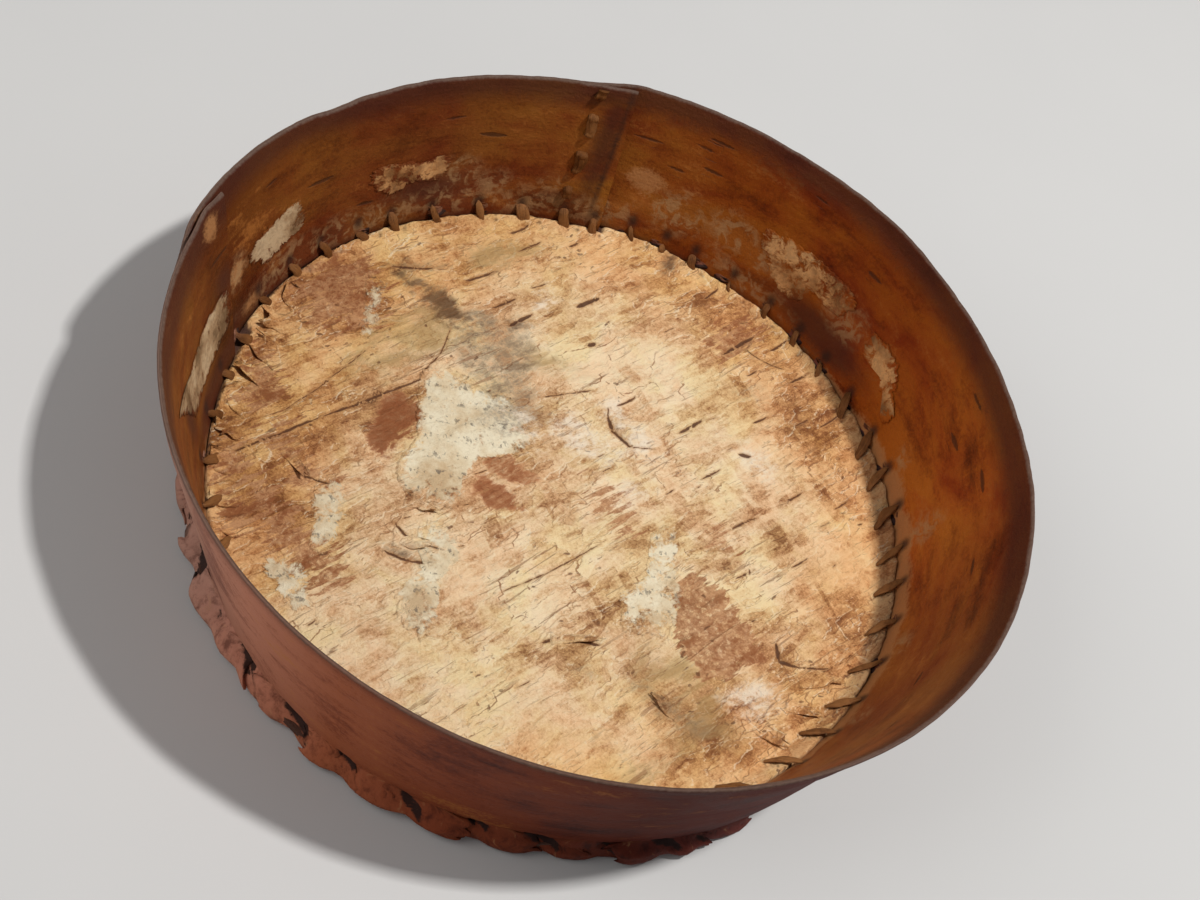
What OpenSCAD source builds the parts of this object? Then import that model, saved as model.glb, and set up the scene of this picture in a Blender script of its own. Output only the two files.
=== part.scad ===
// A round, flared basket of birch bark: two lapped wall strips laced to a base sheet with split root.
// Millimetres, +Z up. The basket stands on the undersides of its lacing, at Z = 0.

/* [Tray] */
// Outside radius of the rim
rim_r = 82; // [60:0.5:120]
// Height of the wall above the base sheet
wall_h = 37; // [24:0.5:70]
// Inside radius of the wall at its foot
foot_r = 71.7; // [50:0.1:110]
// Thickness of the wall's bark
bark_t = 1.6; // [1:0.1:3]
// Thickness of the base sheet
base_t = 1.8; // [1:0.1:3.5]
// How far the base sheet stands out beyond the wall where the wall is doubled
base_lip = 0.3; // [0:0.1:3]

/* [Hand made shape] */
// Oval of the rim, added along its long direction and taken off across it
rim_oval = 1; // [0:0.1:3]
// Direction of the rim's long axis
rim_oval_dir = 32; // [0:1:180]
// Oval of the wall's foot
foot_oval = 1.1; // [0:0.1:3]
// Direction of the foot's long axis
foot_oval_dir = 84; // [0:1:180]
// Rise of the rim on its high side
rim_tilt = 2.2; // [0:0.1:4]
// Direction of the rim's high side
rim_tilt_dir = -21; // [-180:1:180]
// Rounding of the rim's cut edge
rim_break = 0.4; // [0.1:0.05:0.45]

/* [Laps of the wall] */
// Angle of the short strip's end, which shows inside at the stitched lap
lap_a = 107; // [90:1:120]
// Angle of the long strip's end, which shows inside at the plain lap
lap_b = 184; // [170:1:200]
// Arc over which the strips lie on each other
lap_arc = 18; // [12:1:26]
// Gap between the two layers of a lap
lap_gap = 0.1; // [0.05:0.05:0.5]
// How far the stitched lap's end leans, rim against foot
lap_a_slant = 2; // [-6:0.5:6]
// How far the plain lap's end leans, rim against foot
lap_b_slant = -5.5; // [-6:0.5:6]

/* [Base lacing] */
// Stitches in each of the three lengths of root
strand_stitches = 15; // [9:1:20]
// Width of the split root where it goes through a hole and across the inside
root_w = 2.6; // [1.6:0.1:3.4]
// Width of the root where it is pressed flat outside, round the base's edge
root_spread = 5; // [2:0.1:7]
// Thickness of the split root
root_t = 1.3; // [0.8:0.1:1.8]
// Distance of the base holes inside the wall's foot
hole_in = 4.5; // [3.5:0.1:8]
// Height of the wall holes above the base sheet
hole_up = 4; // [3:0.1:6]
// Space round the root in a hole, on each side
hole_clear = 0.15; // [0.05:0.05:0.5]
// How much longer than the root an awl slit in the wall is
slit_slack = 1; // [0:0.1:2]
// Angle of the first base hole, before the drift
stitch_start = 2.8; // [0:0.1:8]
// Drift of the stitches, which are wider apart at the front than at the back
stitch_drift = 7; // [0:0.5:9]
// Share of a stitch's advance that is made inside the basket
stitch_lead = 0.45; // [0.2:0.05:0.6]

/* [Lap lacing] */
// Width of the lap's root
lap_root_w = 3; // [2:0.1:4]
// Thickness of the lap's root
lap_root_t = 1; // [0.6:0.1:1.4]
// Distance of the row from the short strip's end, in degrees
lap_row = 6.5; // [5:0.5:9]
// Height of the lowest lap hole above the base lacing's wall holes
lap_low = 5.6; // [4.6:0.1:8]
// Depth of the highest lap hole below the level rim
lap_high = 4; // [3:0.1:8]

/* [Paper scraps] */
// Thickness of the paper lining
paper_t = 0.2; // [0.1:0.05:0.4]
// Size of every scrap against the size seen
paper_scale = 1; // [0.7:0.05:1.1]

/* [Hidden] */
// The lacing has a fixed number of lengths, because each is a piece of its own
strands = 3;
// The lap lacing goes through an even number of holes, so that both its ends lie inside
lap_holes = 6;
// Angle between stitches
pitch = 360 / (strands * strand_stitches);
// Underside and top of the base sheet: the root runs between it and the ground
base_z0 = root_t + hole_clear;
base_z1 = base_z0 + base_t;
// Half the root's thickness and the space beside it
half_root = root_t / 2 + hole_clear;
half_lap_root = lap_root_t / 2 + hole_clear;
// Each strip moves by this much, from inside at its first end to outside at its last
lap_shift = (bark_t + lap_gap) / 2;
// The last end of a strip is fully outside this far before the lap begins
lap_flat = 4;
// Angles of the strips' ends
short_from = lap_a;
short_to = lap_b + lap_arc;
long_from = lap_b;
long_to = lap_a + lap_arc + 360;
// Angle between the stations along a strip, and points round the base sheet
strip_step = 3;
base_points = 120;
// Hexagon of a split root's section, as shares of its width and thickness
root_section = [[0.5, 0], [0.25, 0.5], [-0.25, 0.5], [-0.5, 0], [-0.25, -0.5], [0.25, -0.5]];
// Rings that carry one stitch of the base lacing
stitch_rings = 11;
// Space between a scrap of paper and the curved wall behind it
paper_gap = 0.08;
// Scraps on the base: middle x and y, half length and half width as shares of the foot's radius, direction
floor_scraps = [
    [-0.335, -0.03, 0.235, 0.125, -63],
    [-0.2, -0.46, 0.165, 0.065, -72],
    [-0.52, -0.43, 0.12, 0.05, -65],
    [0.335, -0.155, 0.18, 0.062, -68],
    [-0.51, -0.65, 0.075, 0.05, -30],
    [-0.72, 0.265, 0.11, 0.05, -70],
];
// Scraps on the wall: middle angle and half arc, middle height and half height as shares of the wall above the lacing
wall_scraps = [
    [lap_b + 14, 11.5, 0.27, 0.18],
    [lap_b - 14, 6.5, 0.245, 0.14],
    [lap_a + lap_row + 30, 7, 0.245, 0.13],
    [lap_a - 36, 9.5, 0.24, 0.19],
    [lap_a - 58.5, 6, 0.26, 0.12],
];

// Plain helpers
function mix(a, b, u) = a + (b - a) * u;
function clamp01(u) = min(1, max(0, u));
function ease(u) = u * u * (3 - 2 * u);
function around(a) = a - 360 * floor(a / 360);
function polar(a, r, z) = [r * cos(a), r * sin(a), z];
function unit(v) = v / norm(v);

// Middle surface of the wall at angle a, where k runs from 0 at the foot to 1 at the level rim
function mid_r(a, k) = mix(
    foot_r + bark_t / 2 + foot_oval * cos(2 * (a - foot_oval_dir)),
    rim_r - bark_t / 2 + rim_oval * cos(2 * (a - rim_oval_dir)),
    k
);
function level_z(k) = base_z1 + k * wall_h;
function rim_k(a) = 1 + rim_tilt / wall_h * cos(a - rim_tilt_dir);

// Shift of a strip off the middle surface, and of the innermost and outermost strip at an angle
function strip_shift(a, from, to) = mix(
    -lap_shift,
    lap_shift,
    ease(clamp01((a - from - lap_arc) / (to - from - 2 * lap_arc - lap_flat)))
);
function short_shift(a) = strip_shift(a, short_from, short_to);
function long_shift(a) = strip_shift(a < long_from - lap_flat ? a + 360 : a, long_from, long_to);
function has_short(a) = a > short_from - 2 && a < short_to + 1;
function has_long(a) = a > long_from - 3 || a < long_to - 359;
function inner_shift(a) =
    has_short(a) && has_long(a) ? min(short_shift(a), long_shift(a)) :
    has_short(a) ? short_shift(a) : long_shift(a);
function outer_shift(a) =
    has_short(a) && has_long(a) ? max(short_shift(a), long_shift(a)) :
    has_short(a) ? short_shift(a) : long_shift(a);
function wall_in(a, k) = mid_r(a, k) + inner_shift(around(a)) - bark_t / 2;
function wall_out(a, k) = mid_r(a, k) + outer_shift(around(a)) + bark_t / 2;
function base_edge(a) = mid_r(a, 0) + lap_shift + bark_t / 2 + base_lip;

// Holes of the base lacing: angle of stitch i in the base and in the wall
function drift(a) = a + stitch_drift * sin(a - 270);
function base_angle(i) = drift(stitch_start + i * pitch);
function wall_angle(i) = mix(base_angle(i), base_angle(i + 1), stitch_lead);
function base_hole_r(a) = wall_in(a, 0) - hole_in;
hole_k = hole_up / wall_h;
lace_k = (hole_up + root_t) / wall_h;

// Holes of the lap lacing, counted from the top
lap_angle = lap_a + lap_row;
lap_bend = 1.1 * lap_root_t;
function lap_hole_k(i) = mix(wall_h - lap_high, hole_up + lap_low, i / (lap_holes - 1)) / wall_h;

// Skin of a tube: rings of n points joined by triangles, with a flat cap at each end
function tube_faces(rings, n) = concat(
    [[for (j = [n - 1:-1:0]) j]],
    [for (i = [0:rings - 2], j = [0:n - 1]) [i * n + j, i * n + (j + 1) % n, (i + 1) * n + j]],
    [for (i = [0:rings - 2], j = [0:n - 1]) [i * n + (j + 1) % n, (i + 1) * n + (j + 1) % n, (i + 1) * n + j]],
    [[for (j = [0:n - 1]) (rings - 1) * n + j]]
);

// Least gap of a tube to itself, measured on its middle points more than five rings apart
function least_gap(path, width) = min([
    for (i = [0:len(path) - 7], j = [i + 6:len(path) - 1]) norm(path[i] - path[j])
]) - width;

// One strip of the wall, swept round with a rounded upper edge
function strip_point(from, to, from_slant, to_slant, u, side, down) =
    let (a0 = mix(from, to, u))
    let (lean = mix(from_slant, to_slant, u))
    let (k = down < 0 ? 0 : rim_k(a0) - down / wall_h)
    let (a = a0 + lean * (k - 0.5))
    let (r = mid_r(a, k) + strip_shift(a, from, to) + side * bark_t / 2)
    polar(a, r, level_z(k));

module wall_strip(from, to, from_slant, to_slant) {
    steps = ceil((to - from) / strip_step);
    flat = 1 - 2 * rim_break / bark_t;
    section = [[1, -1], [1, rim_break], [flat, 0], [-flat, 0], [-1, rim_break], [-1, -1]];
    points = [
        for (i = [0:steps], p = section)
            strip_point(from, to, from_slant, to_slant, i / steps, p[0], p[1])
    ];
    polyhedron(points, tube_faces(steps + 1, len(section)), convexity = 6);
}

// Slots in the wall for the base lacing and for the lap lacing
module wall_slots() {
    for (i = [0:strands * strand_stitches - 1])
        rotate([0, 0, wall_angle(i)])
            translate([mid_r(wall_angle(i), hole_k), 0, level_z(hole_k)])
                cube([6 * bark_t, root_w + 2 * hole_clear + slit_slack, root_t + 2 * hole_clear], center = true);
    for (i = [0:lap_holes - 1])
        rotate([0, 0, lap_angle])
            translate([mid_r(lap_angle, lap_hole_k(i)), 0, level_z(lap_hole_k(i))])
                cube([6 * bark_t, lap_root_w + 2 * hole_clear, 2 * half_lap_root + hole_clear], center = true);
}

module long_wall_strip() {
    color("#a5623a")
        difference() {
            wall_strip(long_from, long_to, lap_b_slant, 0);
            wall_slots();
        }
}

module short_wall_strip() {
    color("#a86a45")
        difference() {
            wall_strip(short_from, short_to, lap_a_slant, 0);
            wall_slots();
        }
}

module base_sheet() {
    color("#d2b48c")
        difference() {
            translate([0, 0, base_z0])
                linear_extrude(height = base_t)
                    polygon([
                        for (i = [0:base_points - 1])
                            let (a = i * 360 / base_points)
                            [base_edge(a) * cos(a), base_edge(a) * sin(a)]
                    ]);
            for (i = [0:strands * strand_stitches - 1])
                rotate([0, 0, base_angle(i)])
                    translate([base_hole_r(base_angle(i)), 0, base_z0 + base_t / 2])
                        cube([root_t + 2 * hole_clear, root_w + 2 * hole_clear, 2 * base_t], center = true);
        }
}

// One ring of the base lacing: angle, radius, height, the direction in which the root's face looks, and its spread.
// The root comes up through the base, leans over to the wall, goes out, round the base's edge and under it.
function stitch_ring(i, j) =
    let (ab = base_angle(i), aw = wall_angle(i), an = base_angle(i + 1))
    let (rb = base_hole_r(ab), rn = base_hole_r(an))
    let (wi = wall_in(aw, hole_k), wo = wall_out(aw, hole_k), zh = level_z(hole_k))
    let (am = mix(ab, aw, 0.5), a6 = mix(aw, an, 0.15), a7 = mix(aw, an, 0.28), a8 = mix(aw, an, 0.42))
    let (lean = atan2(hole_up - half_root, wi - half_root - rb))
    j == 0 ? [ab, rb, base_z0 + base_t / 2, 180, 0] :
    j == 1 ? [mix(ab, aw, 0.08), rb + 0.2, base_z1 + half_root + 0.2, 135 + lean / 2, 0] :
    j == 2 ? [am, mix(rb, wi - half_root, 0.5) - 0.2, mix(base_z1 + half_root, zh, 0.5) + 0.2, 90 + lean, 0.1] :
    j == 3 ? [mix(ab, aw, 0.96), wi - half_root, zh, 90 + lean / 2, 0] :
    j == 4 ? [aw, (wi + wo) / 2, zh, 90, 0] :
    j == 5 ? [aw, wo + 0.8 * half_root, zh - 0.15, 50, 0.3] :
    j == 6 ? [a6, max(base_edge(a6), wo) + half_root + 0.15, base_z0 + base_t / 2 + 0.3, 5, 1] :
    j == 7 ? [a7, base_edge(a7) + 0.8 * half_root, base_z0 - 0.8 * half_root, -45, 1] :
    j == 8 ? [a8, base_edge(a8) - root_t, root_t / 2, -90, 0.7] :
    j == 9 ? [mix(aw, an, 0.92), rn + 1.2, root_t / 2, -90, 0] :
    [an, rn + 0.15, root_t / 2 + 0.25, -135, 0];

function ring_middle(p) = polar(p[0], p[1], p[2]);
function ring_face(p) = [cos(p[3]) * cos(p[0]), cos(p[3]) * sin(p[0]), sin(p[3])];

// One length of root through its stitches: it starts and ends halfway through a base hole
module base_strand(first) {
    rings = [
        for (n = [0:strand_stitches * stitch_rings])
            stitch_ring(first + floor(n / stitch_rings), n % stitch_rings)
    ];
    path = [for (p = rings) ring_middle(p)];
    last = len(path) - 1;
    points = [
        for (n = [0:last])
            let (along = n == 0 || n == last ? [0, 0, 1] : unit(path[n + 1] - path[n - 1]))
            let (face = ring_face(rings[n]))
            let (leaning = n % stitch_rings > 0 && n % stitch_rings < 4)
            let (across = leaning ? unit(cross(along, face)) : [sin(rings[n][0]), -cos(rings[n][0]), 0])
            let (width = mix(root_w, root_spread, rings[n][4]))
            for (q = root_section) path[n] + across * q[0] * width + face * q[1] * root_t
    ];
    echo("least gap of a base strand to itself, mm", least_gap(path, root_spread));
    color("#8a5a34")
        polyhedron(points, tube_faces(last + 1, 6), convexity = 10);
}

module base_lacing_1() {
    base_strand(0);
}

module base_lacing_2() {
    base_strand(strand_stitches);
}

module base_lacing_3() {
    base_strand(2 * strand_stitches);
}

// Running stitch down the lap: in and out through both layers, starting and ending inside
function lap_in(k) = wall_in(lap_angle, k) - half_lap_root;
function lap_out(k) = wall_out(lap_angle, k) + half_lap_root;
function lap_side(k, out) = out ? lap_out(k) : lap_in(k);
function lap_ring(k, rise, out, u) =
    let (level = k + rise / wall_h)
    [mix(lap_side(level, out), lap_side(level, !out), u), level_z(level)];
function lap_turn(i) =
    let (k = lap_hole_k(i), out = i % 2 == 1)
    [
        lap_ring(k, lap_bend, out, 0),
        lap_ring(k, 0.1, out, 0.05),
        lap_ring(k, -0.1, out, 0.95),
        lap_ring(k, -lap_bend, out, 1)
    ];

module lap_lacing() {
    tail = lap_bend + lap_root_t;
    flat_path = concat(
        [lap_ring(lap_hole_k(0), tail, false, 0)],
        [for (i = [0:lap_holes - 1]) each lap_turn(i)],
        [lap_ring(lap_hole_k(lap_holes - 1), -tail, false, 0)]
    );
    path = [for (p = flat_path) polar(lap_angle, p[0], p[1])];
    across = [-sin(lap_angle), cos(lap_angle), 0];
    end = len(path) - 1;
    points = [
        for (n = [0:end])
            let (along = unit(path[min(n + 1, end)] - path[max(n - 1, 0)]))
            let (face = cross(across, along))
            for (q = root_section) path[n] + across * q[0] * lap_root_w + face * q[1] * lap_root_t
    ];
    echo("least gap of the lap lacing to itself, mm", least_gap(path, lap_root_t));
    color("#7a4a2c")
        polyhedron(points, tube_faces(end + 1, 6), convexity = 10);
}

// A scrap on the base: a torn outline of waves on an ellipse
module floor_scrap(s) {
    turn = s[4];
    points = [
        for (i = [0:35])
            let (a = i * 10)
            let (wave = 1 + 0.09 * cos(3 * a + turn) + 0.06 * cos(7 * a) + 0.04 * sin(11 * a))
            foot_r * paper_scale * wave * [s[2] * cos(a), s[3] * sin(a)]
    ];
    color("#e6dcc4")
        translate([s[0] * foot_r, s[1] * foot_r, base_z1])
            rotate([0, 0, turn])
                linear_extrude(height = paper_t)
                    polygon(points);
}

// A scrap on the wall: a square grid rounded to a disc and laid on the inner face
function scrap_point(s, u, v, depth) =
    let (a = s[0] + paper_scale * s[1] * u * sqrt(1 - v * v / 2))
    let (k = mix(lace_k, 1, s[2] + paper_scale * s[3] * v * sqrt(1 - u * u / 2)))
    polar(a, wall_in(a, k) - paper_gap - depth, level_z(k));

module wall_scrap(s) {
    cols = 12;
    rows = 4;
    front = (cols + 1) * (rows + 1);
    points = [
        for (depth = [0, paper_t], i = [0:cols], j = [0:rows])
            scrap_point(s, 2 * i / cols - 1, 2 * j / rows - 1, depth)
    ];
    function at(i, j) = i * (rows + 1) + j;
    edge = concat(
        [for (i = [0:cols - 1]) at(i, 0)],
        [for (j = [0:rows - 1]) at(cols, j)],
        [for (i = [cols:-1:1]) at(i, rows)],
        [for (j = [rows:-1:1]) at(0, j)]
    );
    rim = len(edge);
    faces = concat(
        [for (i = [0:cols - 1], j = [0:rows - 1]) [at(i, j), at(i, j + 1), at(i + 1, j)]],
        [for (i = [0:cols - 1], j = [0:rows - 1]) [at(i + 1, j), at(i, j + 1), at(i + 1, j + 1)]],
        [for (i = [0:cols - 1], j = [0:rows - 1]) [front + at(i, j), front + at(i + 1, j), front + at(i, j + 1)]],
        [for (i = [0:cols - 1], j = [0:rows - 1]) [front + at(i + 1, j), front + at(i + 1, j + 1), front + at(i, j + 1)]],
        [for (n = [0:rim - 1]) [edge[n], edge[(n + 1) % rim], front + edge[n]]],
        [for (n = [0:rim - 1]) [edge[(n + 1) % rim], front + edge[(n + 1) % rim], front + edge[n]]]
    );
    color("#ddd0b4")
        polyhedron(points, faces, convexity = 4);
}

module paper_floor_middle() {
    floor_scrap(floor_scraps[0]);
}

module paper_floor_front() {
    floor_scrap(floor_scraps[1]);
}

module paper_floor_left() {
    floor_scrap(floor_scraps[2]);
}

module paper_floor_right() {
    floor_scrap(floor_scraps[3]);
}

module paper_floor_corner() {
    floor_scrap(floor_scraps[4]);
}

module paper_floor_back() {
    floor_scrap(floor_scraps[5]);
}

module paper_wall_left() {
    wall_scrap(wall_scraps[0]);
}

module paper_wall_leaf() {
    wall_scrap(wall_scraps[1]);
}

module paper_wall_far() {
    wall_scrap(wall_scraps[2]);
}

module paper_wall_right() {
    wall_scrap(wall_scraps[3]);
}

module paper_wall_streak() {
    wall_scrap(wall_scraps[4]);
}

base_sheet();
long_wall_strip();
short_wall_strip();
base_lacing_1();
base_lacing_2();
base_lacing_3();
lap_lacing();
paper_floor_middle();
paper_floor_front();
paper_floor_left();
paper_floor_right();
paper_floor_corner();
paper_floor_back();
paper_wall_left();
paper_wall_leaf();
paper_wall_far();
paper_wall_right();
paper_wall_streak();
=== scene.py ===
"""Looks of a birch bark basket: bark base, two lapped wall strips, split root lacing and paper scraps.

Sizes are millimetres and angles degrees, in the frame of the CAD model; meshes are written in metres.
"""

import bpy
import numpy as np
from mathutils import Matrix


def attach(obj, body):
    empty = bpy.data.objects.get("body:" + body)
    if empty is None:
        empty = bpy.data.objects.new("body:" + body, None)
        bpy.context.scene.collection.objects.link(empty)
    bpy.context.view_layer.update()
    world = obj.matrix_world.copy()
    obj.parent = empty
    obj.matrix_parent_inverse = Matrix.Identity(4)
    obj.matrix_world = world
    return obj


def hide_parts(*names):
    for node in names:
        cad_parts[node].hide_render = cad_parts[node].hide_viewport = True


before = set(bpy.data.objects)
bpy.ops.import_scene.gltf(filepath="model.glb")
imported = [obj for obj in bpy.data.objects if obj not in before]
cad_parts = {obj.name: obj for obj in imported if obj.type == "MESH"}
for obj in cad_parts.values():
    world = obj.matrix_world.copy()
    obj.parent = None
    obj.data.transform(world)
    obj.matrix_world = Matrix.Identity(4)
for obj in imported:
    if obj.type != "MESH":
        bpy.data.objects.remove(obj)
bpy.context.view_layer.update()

MM = 0.001
BODY = "root"

# Sizes of the basket, the same values as its construction
RIM_R = 82.0
WALL_H = 37.0
FOOT_R = 71.7
BARK_T = 1.6
BASE_T = 1.8
BASE_LIP = 0.3
RIM_OVAL = 1.0
RIM_OVAL_DIR = 32.0
FOOT_OVAL = 1.1
FOOT_OVAL_DIR = 84.0
RIM_TILT = 2.2
RIM_TILT_DIR = -21.0
LAP_A = 107.0
LAP_B = 184.0
LAP_ARC = 18.0
LAP_GAP = 0.1
LAP_FLAT = 4.0
LAP_A_SLANT = 2.0
LAP_B_SLANT = -5.5
STRANDS = 3
STRAND_STITCHES = 15
ROOT_T = 1.3
HOLE_UP = 4.0
HOLE_CLEAR = 0.15
STITCH_START = 2.8
STITCH_DRIFT = 7.0
STITCH_LEAD = 0.45
LAP_HOLES = 6
LAP_ROOT_W = 3.0
LAP_ROOT_T = 1.0
LAP_ROW = 6.5
LAP_LOW = 5.6
LAP_HIGH = 4.0
PAPER_T = 0.2

# Sizes that follow from them
BASE_Z0 = ROOT_T + HOLE_CLEAR
BASE_Z1 = BASE_Z0 + BASE_T
HALF_ROOT = ROOT_T / 2 + HOLE_CLEAR
HALF_LAP_ROOT = LAP_ROOT_T / 2 + HOLE_CLEAR
LAP_SHIFT = (BARK_T + LAP_GAP) / 2
STITCHES = STRANDS * STRAND_STITCHES
PITCH = 360.0 / STITCHES
LAP_ANGLE = LAP_A + LAP_ROW
MEAN_R = (RIM_R + FOOT_R) / 2
# Three faint lobes of the rim and of the foot, which the construction leaves out
LOBES = 0.6
RIM_LOBES_DIR = -26.3
FOOT_LOBES_DIR = 23.7
# Radius at which widths round the wall's holes are measured
HOLE_RING_R = 73.0
# Direction of the bark's grain across the base
GRAIN = 57.0
# Values of a mark's fields where no mark is near
NO_MARK = -6.0
NO_SLIT = -0.5
NO_SLIT_NEAR = 3.0
NO_GAP = -4.0


# Plain helpers on whole arrays

def cosd(angle):
    """Cosine of an angle in degrees."""
    return np.cos(np.radians(angle))


def sind(angle):
    """Sine of an angle in degrees."""
    return np.sin(np.radians(angle))


def mix(a, b, share):
    """a at share 0, b at share 1, straight between."""
    return a + (b - a) * share


def clamp(value, low=0.0, high=1.0):
    """The value held between low and high."""
    return np.minimum(high, np.maximum(low, value))


def ease(value):
    """Smooth step: 3u^2 - 2u^3 of the value held between 0 and 1."""
    u = clamp(value)
    return u * u * (3 - 2 * u)


def bump(distance, width):
    """Bell of height 1: e to the minus squared distance over squared width."""
    return np.exp(-(distance / width) ** 2)


def turn_apart(angle, other):
    """Signed difference of two angles, from -180 to 180."""
    return (angle - other + 180.0) % 360.0 - 180.0


def lattice(column, row, seed):
    """A fixed number from -1 to 1 for each pair of whole numbers, by mixing their bits."""
    mixed = column.astype(np.int64) * 374761393 + row.astype(np.int64) * 668265263 + seed * 2246822519
    mixed = mixed & 0xFFFFFFFF
    mixed = ((mixed ^ (mixed >> 13)) * 1274126177) & 0xFFFFFFFF
    mixed = mixed ^ (mixed >> 16)
    return (mixed & 0xFFFF) / 32767.5 - 1.0


def noise(x, y, seed=0):
    """Value noise: lattice numbers at the four corners of the unit cell, blended smoothly."""
    column = np.floor(x)
    row = np.floor(y)
    u = ease(x - column)
    v = ease(y - row)
    low = mix(lattice(column, row, seed), lattice(column + 1, row, seed), u)
    high = mix(lattice(column, row + 1, seed), lattice(column + 1, row + 1, seed), u)
    return mix(low, high, v)


def fractal(x, y, octaves=4, seed=0):
    """Sum of noises, each twice as fine and half as strong as the one before, scaled to about -1 to 1."""
    total = 0.0
    for n in range(octaves):
        total = total + noise(x * 2.0 ** n, y * 2.0 ** n, seed + n) / 2.0 ** n
    return total / (2.0 - 2.0 ** (1 - octaves))


def along_grain(x, y, direction):
    """Coordinates along and across a direction."""
    along = x * cosd(direction) + y * sind(direction)
    across = y * cosd(direction) - x * sind(direction)
    return along, across


# Meshes

def grid_faces(rows, cols, close_rows=False, close_cols=False):
    """Quads of a rows by cols grid of points, joined round in either direction."""
    i, j = np.meshgrid(
        np.arange(rows if close_rows else rows - 1),
        np.arange(cols if close_cols else cols - 1),
        indexing="ij",
    )
    next_i = (i + 1) % rows
    next_j = (j + 1) % cols
    quads = [i * cols + j, i * cols + next_j, next_i * cols + next_j, next_i * cols + j]
    return np.stack(quads, axis=-1).reshape(-1, 4)


def enclosed_volume(points, faces):
    """Signed volume inside a closed skin: the sum over fan triangles of a . (b x c) / 6."""
    total = 0.0
    for group in faces:
        for n in range(1, group.shape[1] - 1):
            a = points[group[:, 0]]
            b = points[group[:, n]]
            c = points[group[:, n + 1]]
            total += np.einsum("ij,ij->", a, np.cross(b, c)) / 6.0
    return total


def make_piece(name, points, faces, fields, material, nodes=()):
    """A mesh object at the origin from points in millimetres, groups of faces and fields on the points."""
    points = points.reshape(-1, 3)
    if enclosed_volume(points, faces) < 0:
        faces = [group[:, ::-1] for group in faces]
    corners = np.concatenate([group.ravel() for group in faces])
    sizes = np.concatenate([np.full(len(group), group.shape[1]) for group in faces])
    mesh = bpy.data.meshes.new(name)
    mesh.vertices.add(len(points))
    mesh.vertices.foreach_set("co", (points * MM).astype(np.float32).ravel())
    mesh.loops.add(len(corners))
    mesh.loops.foreach_set("vertex_index", corners.astype(np.int32))
    mesh.polygons.add(len(sizes))
    mesh.polygons.foreach_set("loop_start", (np.cumsum(sizes) - sizes).astype(np.int32))
    mesh.polygons.foreach_set("use_smooth", np.ones(len(sizes), bool))
    mesh.update(calc_edges=True)
    mesh.validate()
    for field, value in fields.items():
        value = np.asarray(value, np.float32).ravel()
        if len(value) == len(points):
            mesh.attributes.new(field, "FLOAT", "POINT").data.foreach_set("value", value)
        else:
            mesh.attributes.new(field, "FLOAT_VECTOR", "POINT").data.foreach_set("vector", value)
    mesh.materials.append(material)
    piece = bpy.data.objects.new(name, mesh)
    bpy.context.scene.collection.objects.link(piece)
    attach(piece, BODY)
    if nodes:
        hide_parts(*nodes)
    return piece


# Shape of the wall: the construction's, with faint lobes and a worn rim

def mid_r(angle, k):
    """Radius of the wall's middle surface: foot at k 0 and rim at k 1, oval and faintly lobed."""
    foot = FOOT_R + BARK_T / 2 + FOOT_OVAL * cosd(2 * (angle - FOOT_OVAL_DIR))
    foot = foot + LOBES * cosd(3 * (angle - FOOT_LOBES_DIR))
    rim = RIM_R - BARK_T / 2 + RIM_OVAL * cosd(2 * (angle - RIM_OVAL_DIR))
    rim = rim + LOBES * cosd(3 * (angle - RIM_LOBES_DIR))
    return mix(foot, rim, k)


def level_z(k):
    """Height of the share k of the wall above the ground."""
    return BASE_Z1 + k * WALL_H


def rim_k(angle):
    """Height of the rim as a share of the wall: a tilt, slow waves, a step at the plain lap, wear."""
    tilt = RIM_TILT * cosd(angle - RIM_TILT_DIR)
    step = 0.9 * bump(turn_apart(angle, 188.5), 2.2) - 0.5 * bump(turn_apart(angle, 157.0), 3.0)
    slow = 0.25 * noise(angle / 17.0, angle * 0.0, 5)
    wear = 0.16 * fractal(angle / 2.3, angle * 0.0, 3, 9)
    return 1.0 + (tilt + step + slow + wear) / WALL_H


def strip_shift(angle, start, end):
    """Shift of a strip off the middle surface: inside at its first end, outside at its last."""
    share = (angle - start - LAP_ARC) / (end - start - 2 * LAP_ARC - LAP_FLAT)
    return mix(-LAP_SHIFT, LAP_SHIFT, ease(share))


SHORT_STRIP = (LAP_A, LAP_B + LAP_ARC)
LONG_STRIP = (LAP_B, LAP_A + LAP_ARC + 360.0)


def side_shifts(angle):
    """Shifts of the innermost and the outermost strip at an angle."""
    around = angle % 360.0
    short = strip_shift(around, *SHORT_STRIP)
    lifted = np.where(around < LAP_B - LAP_FLAT, around + 360.0, around)
    long = strip_shift(lifted, *LONG_STRIP)
    short_before = 2.0
    long_before = 3.0
    after = 1.0
    has_short = (around > SHORT_STRIP[0] - short_before) & (around < SHORT_STRIP[1] + after)
    has_long = (around > LONG_STRIP[0] - long_before) | (around < LONG_STRIP[1] - 360.0 + after)
    inner = np.where(has_short & has_long, np.minimum(short, long), np.where(has_short, short, long))
    outer = np.where(has_short & has_long, np.maximum(short, long), np.where(has_short, short, long))
    return inner, outer


def wall_in(angle, k):
    """Radius of the wall's inner face: the innermost strip's middle less half its bark."""
    return mid_r(angle, k) + side_shifts(angle)[0] - BARK_T / 2


def wall_out(angle, k):
    """Radius of the wall's outer face: the outermost strip's middle and half its bark."""
    return mid_r(angle, k) + side_shifts(angle)[1] + BARK_T / 2


def base_edge(angle):
    """Radius of the base's cut edge: a lip beyond the doubled wall."""
    return mid_r(angle, 0.0) + LAP_SHIFT + BARK_T / 2 + BASE_LIP


# Places of the lacing's holes

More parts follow.
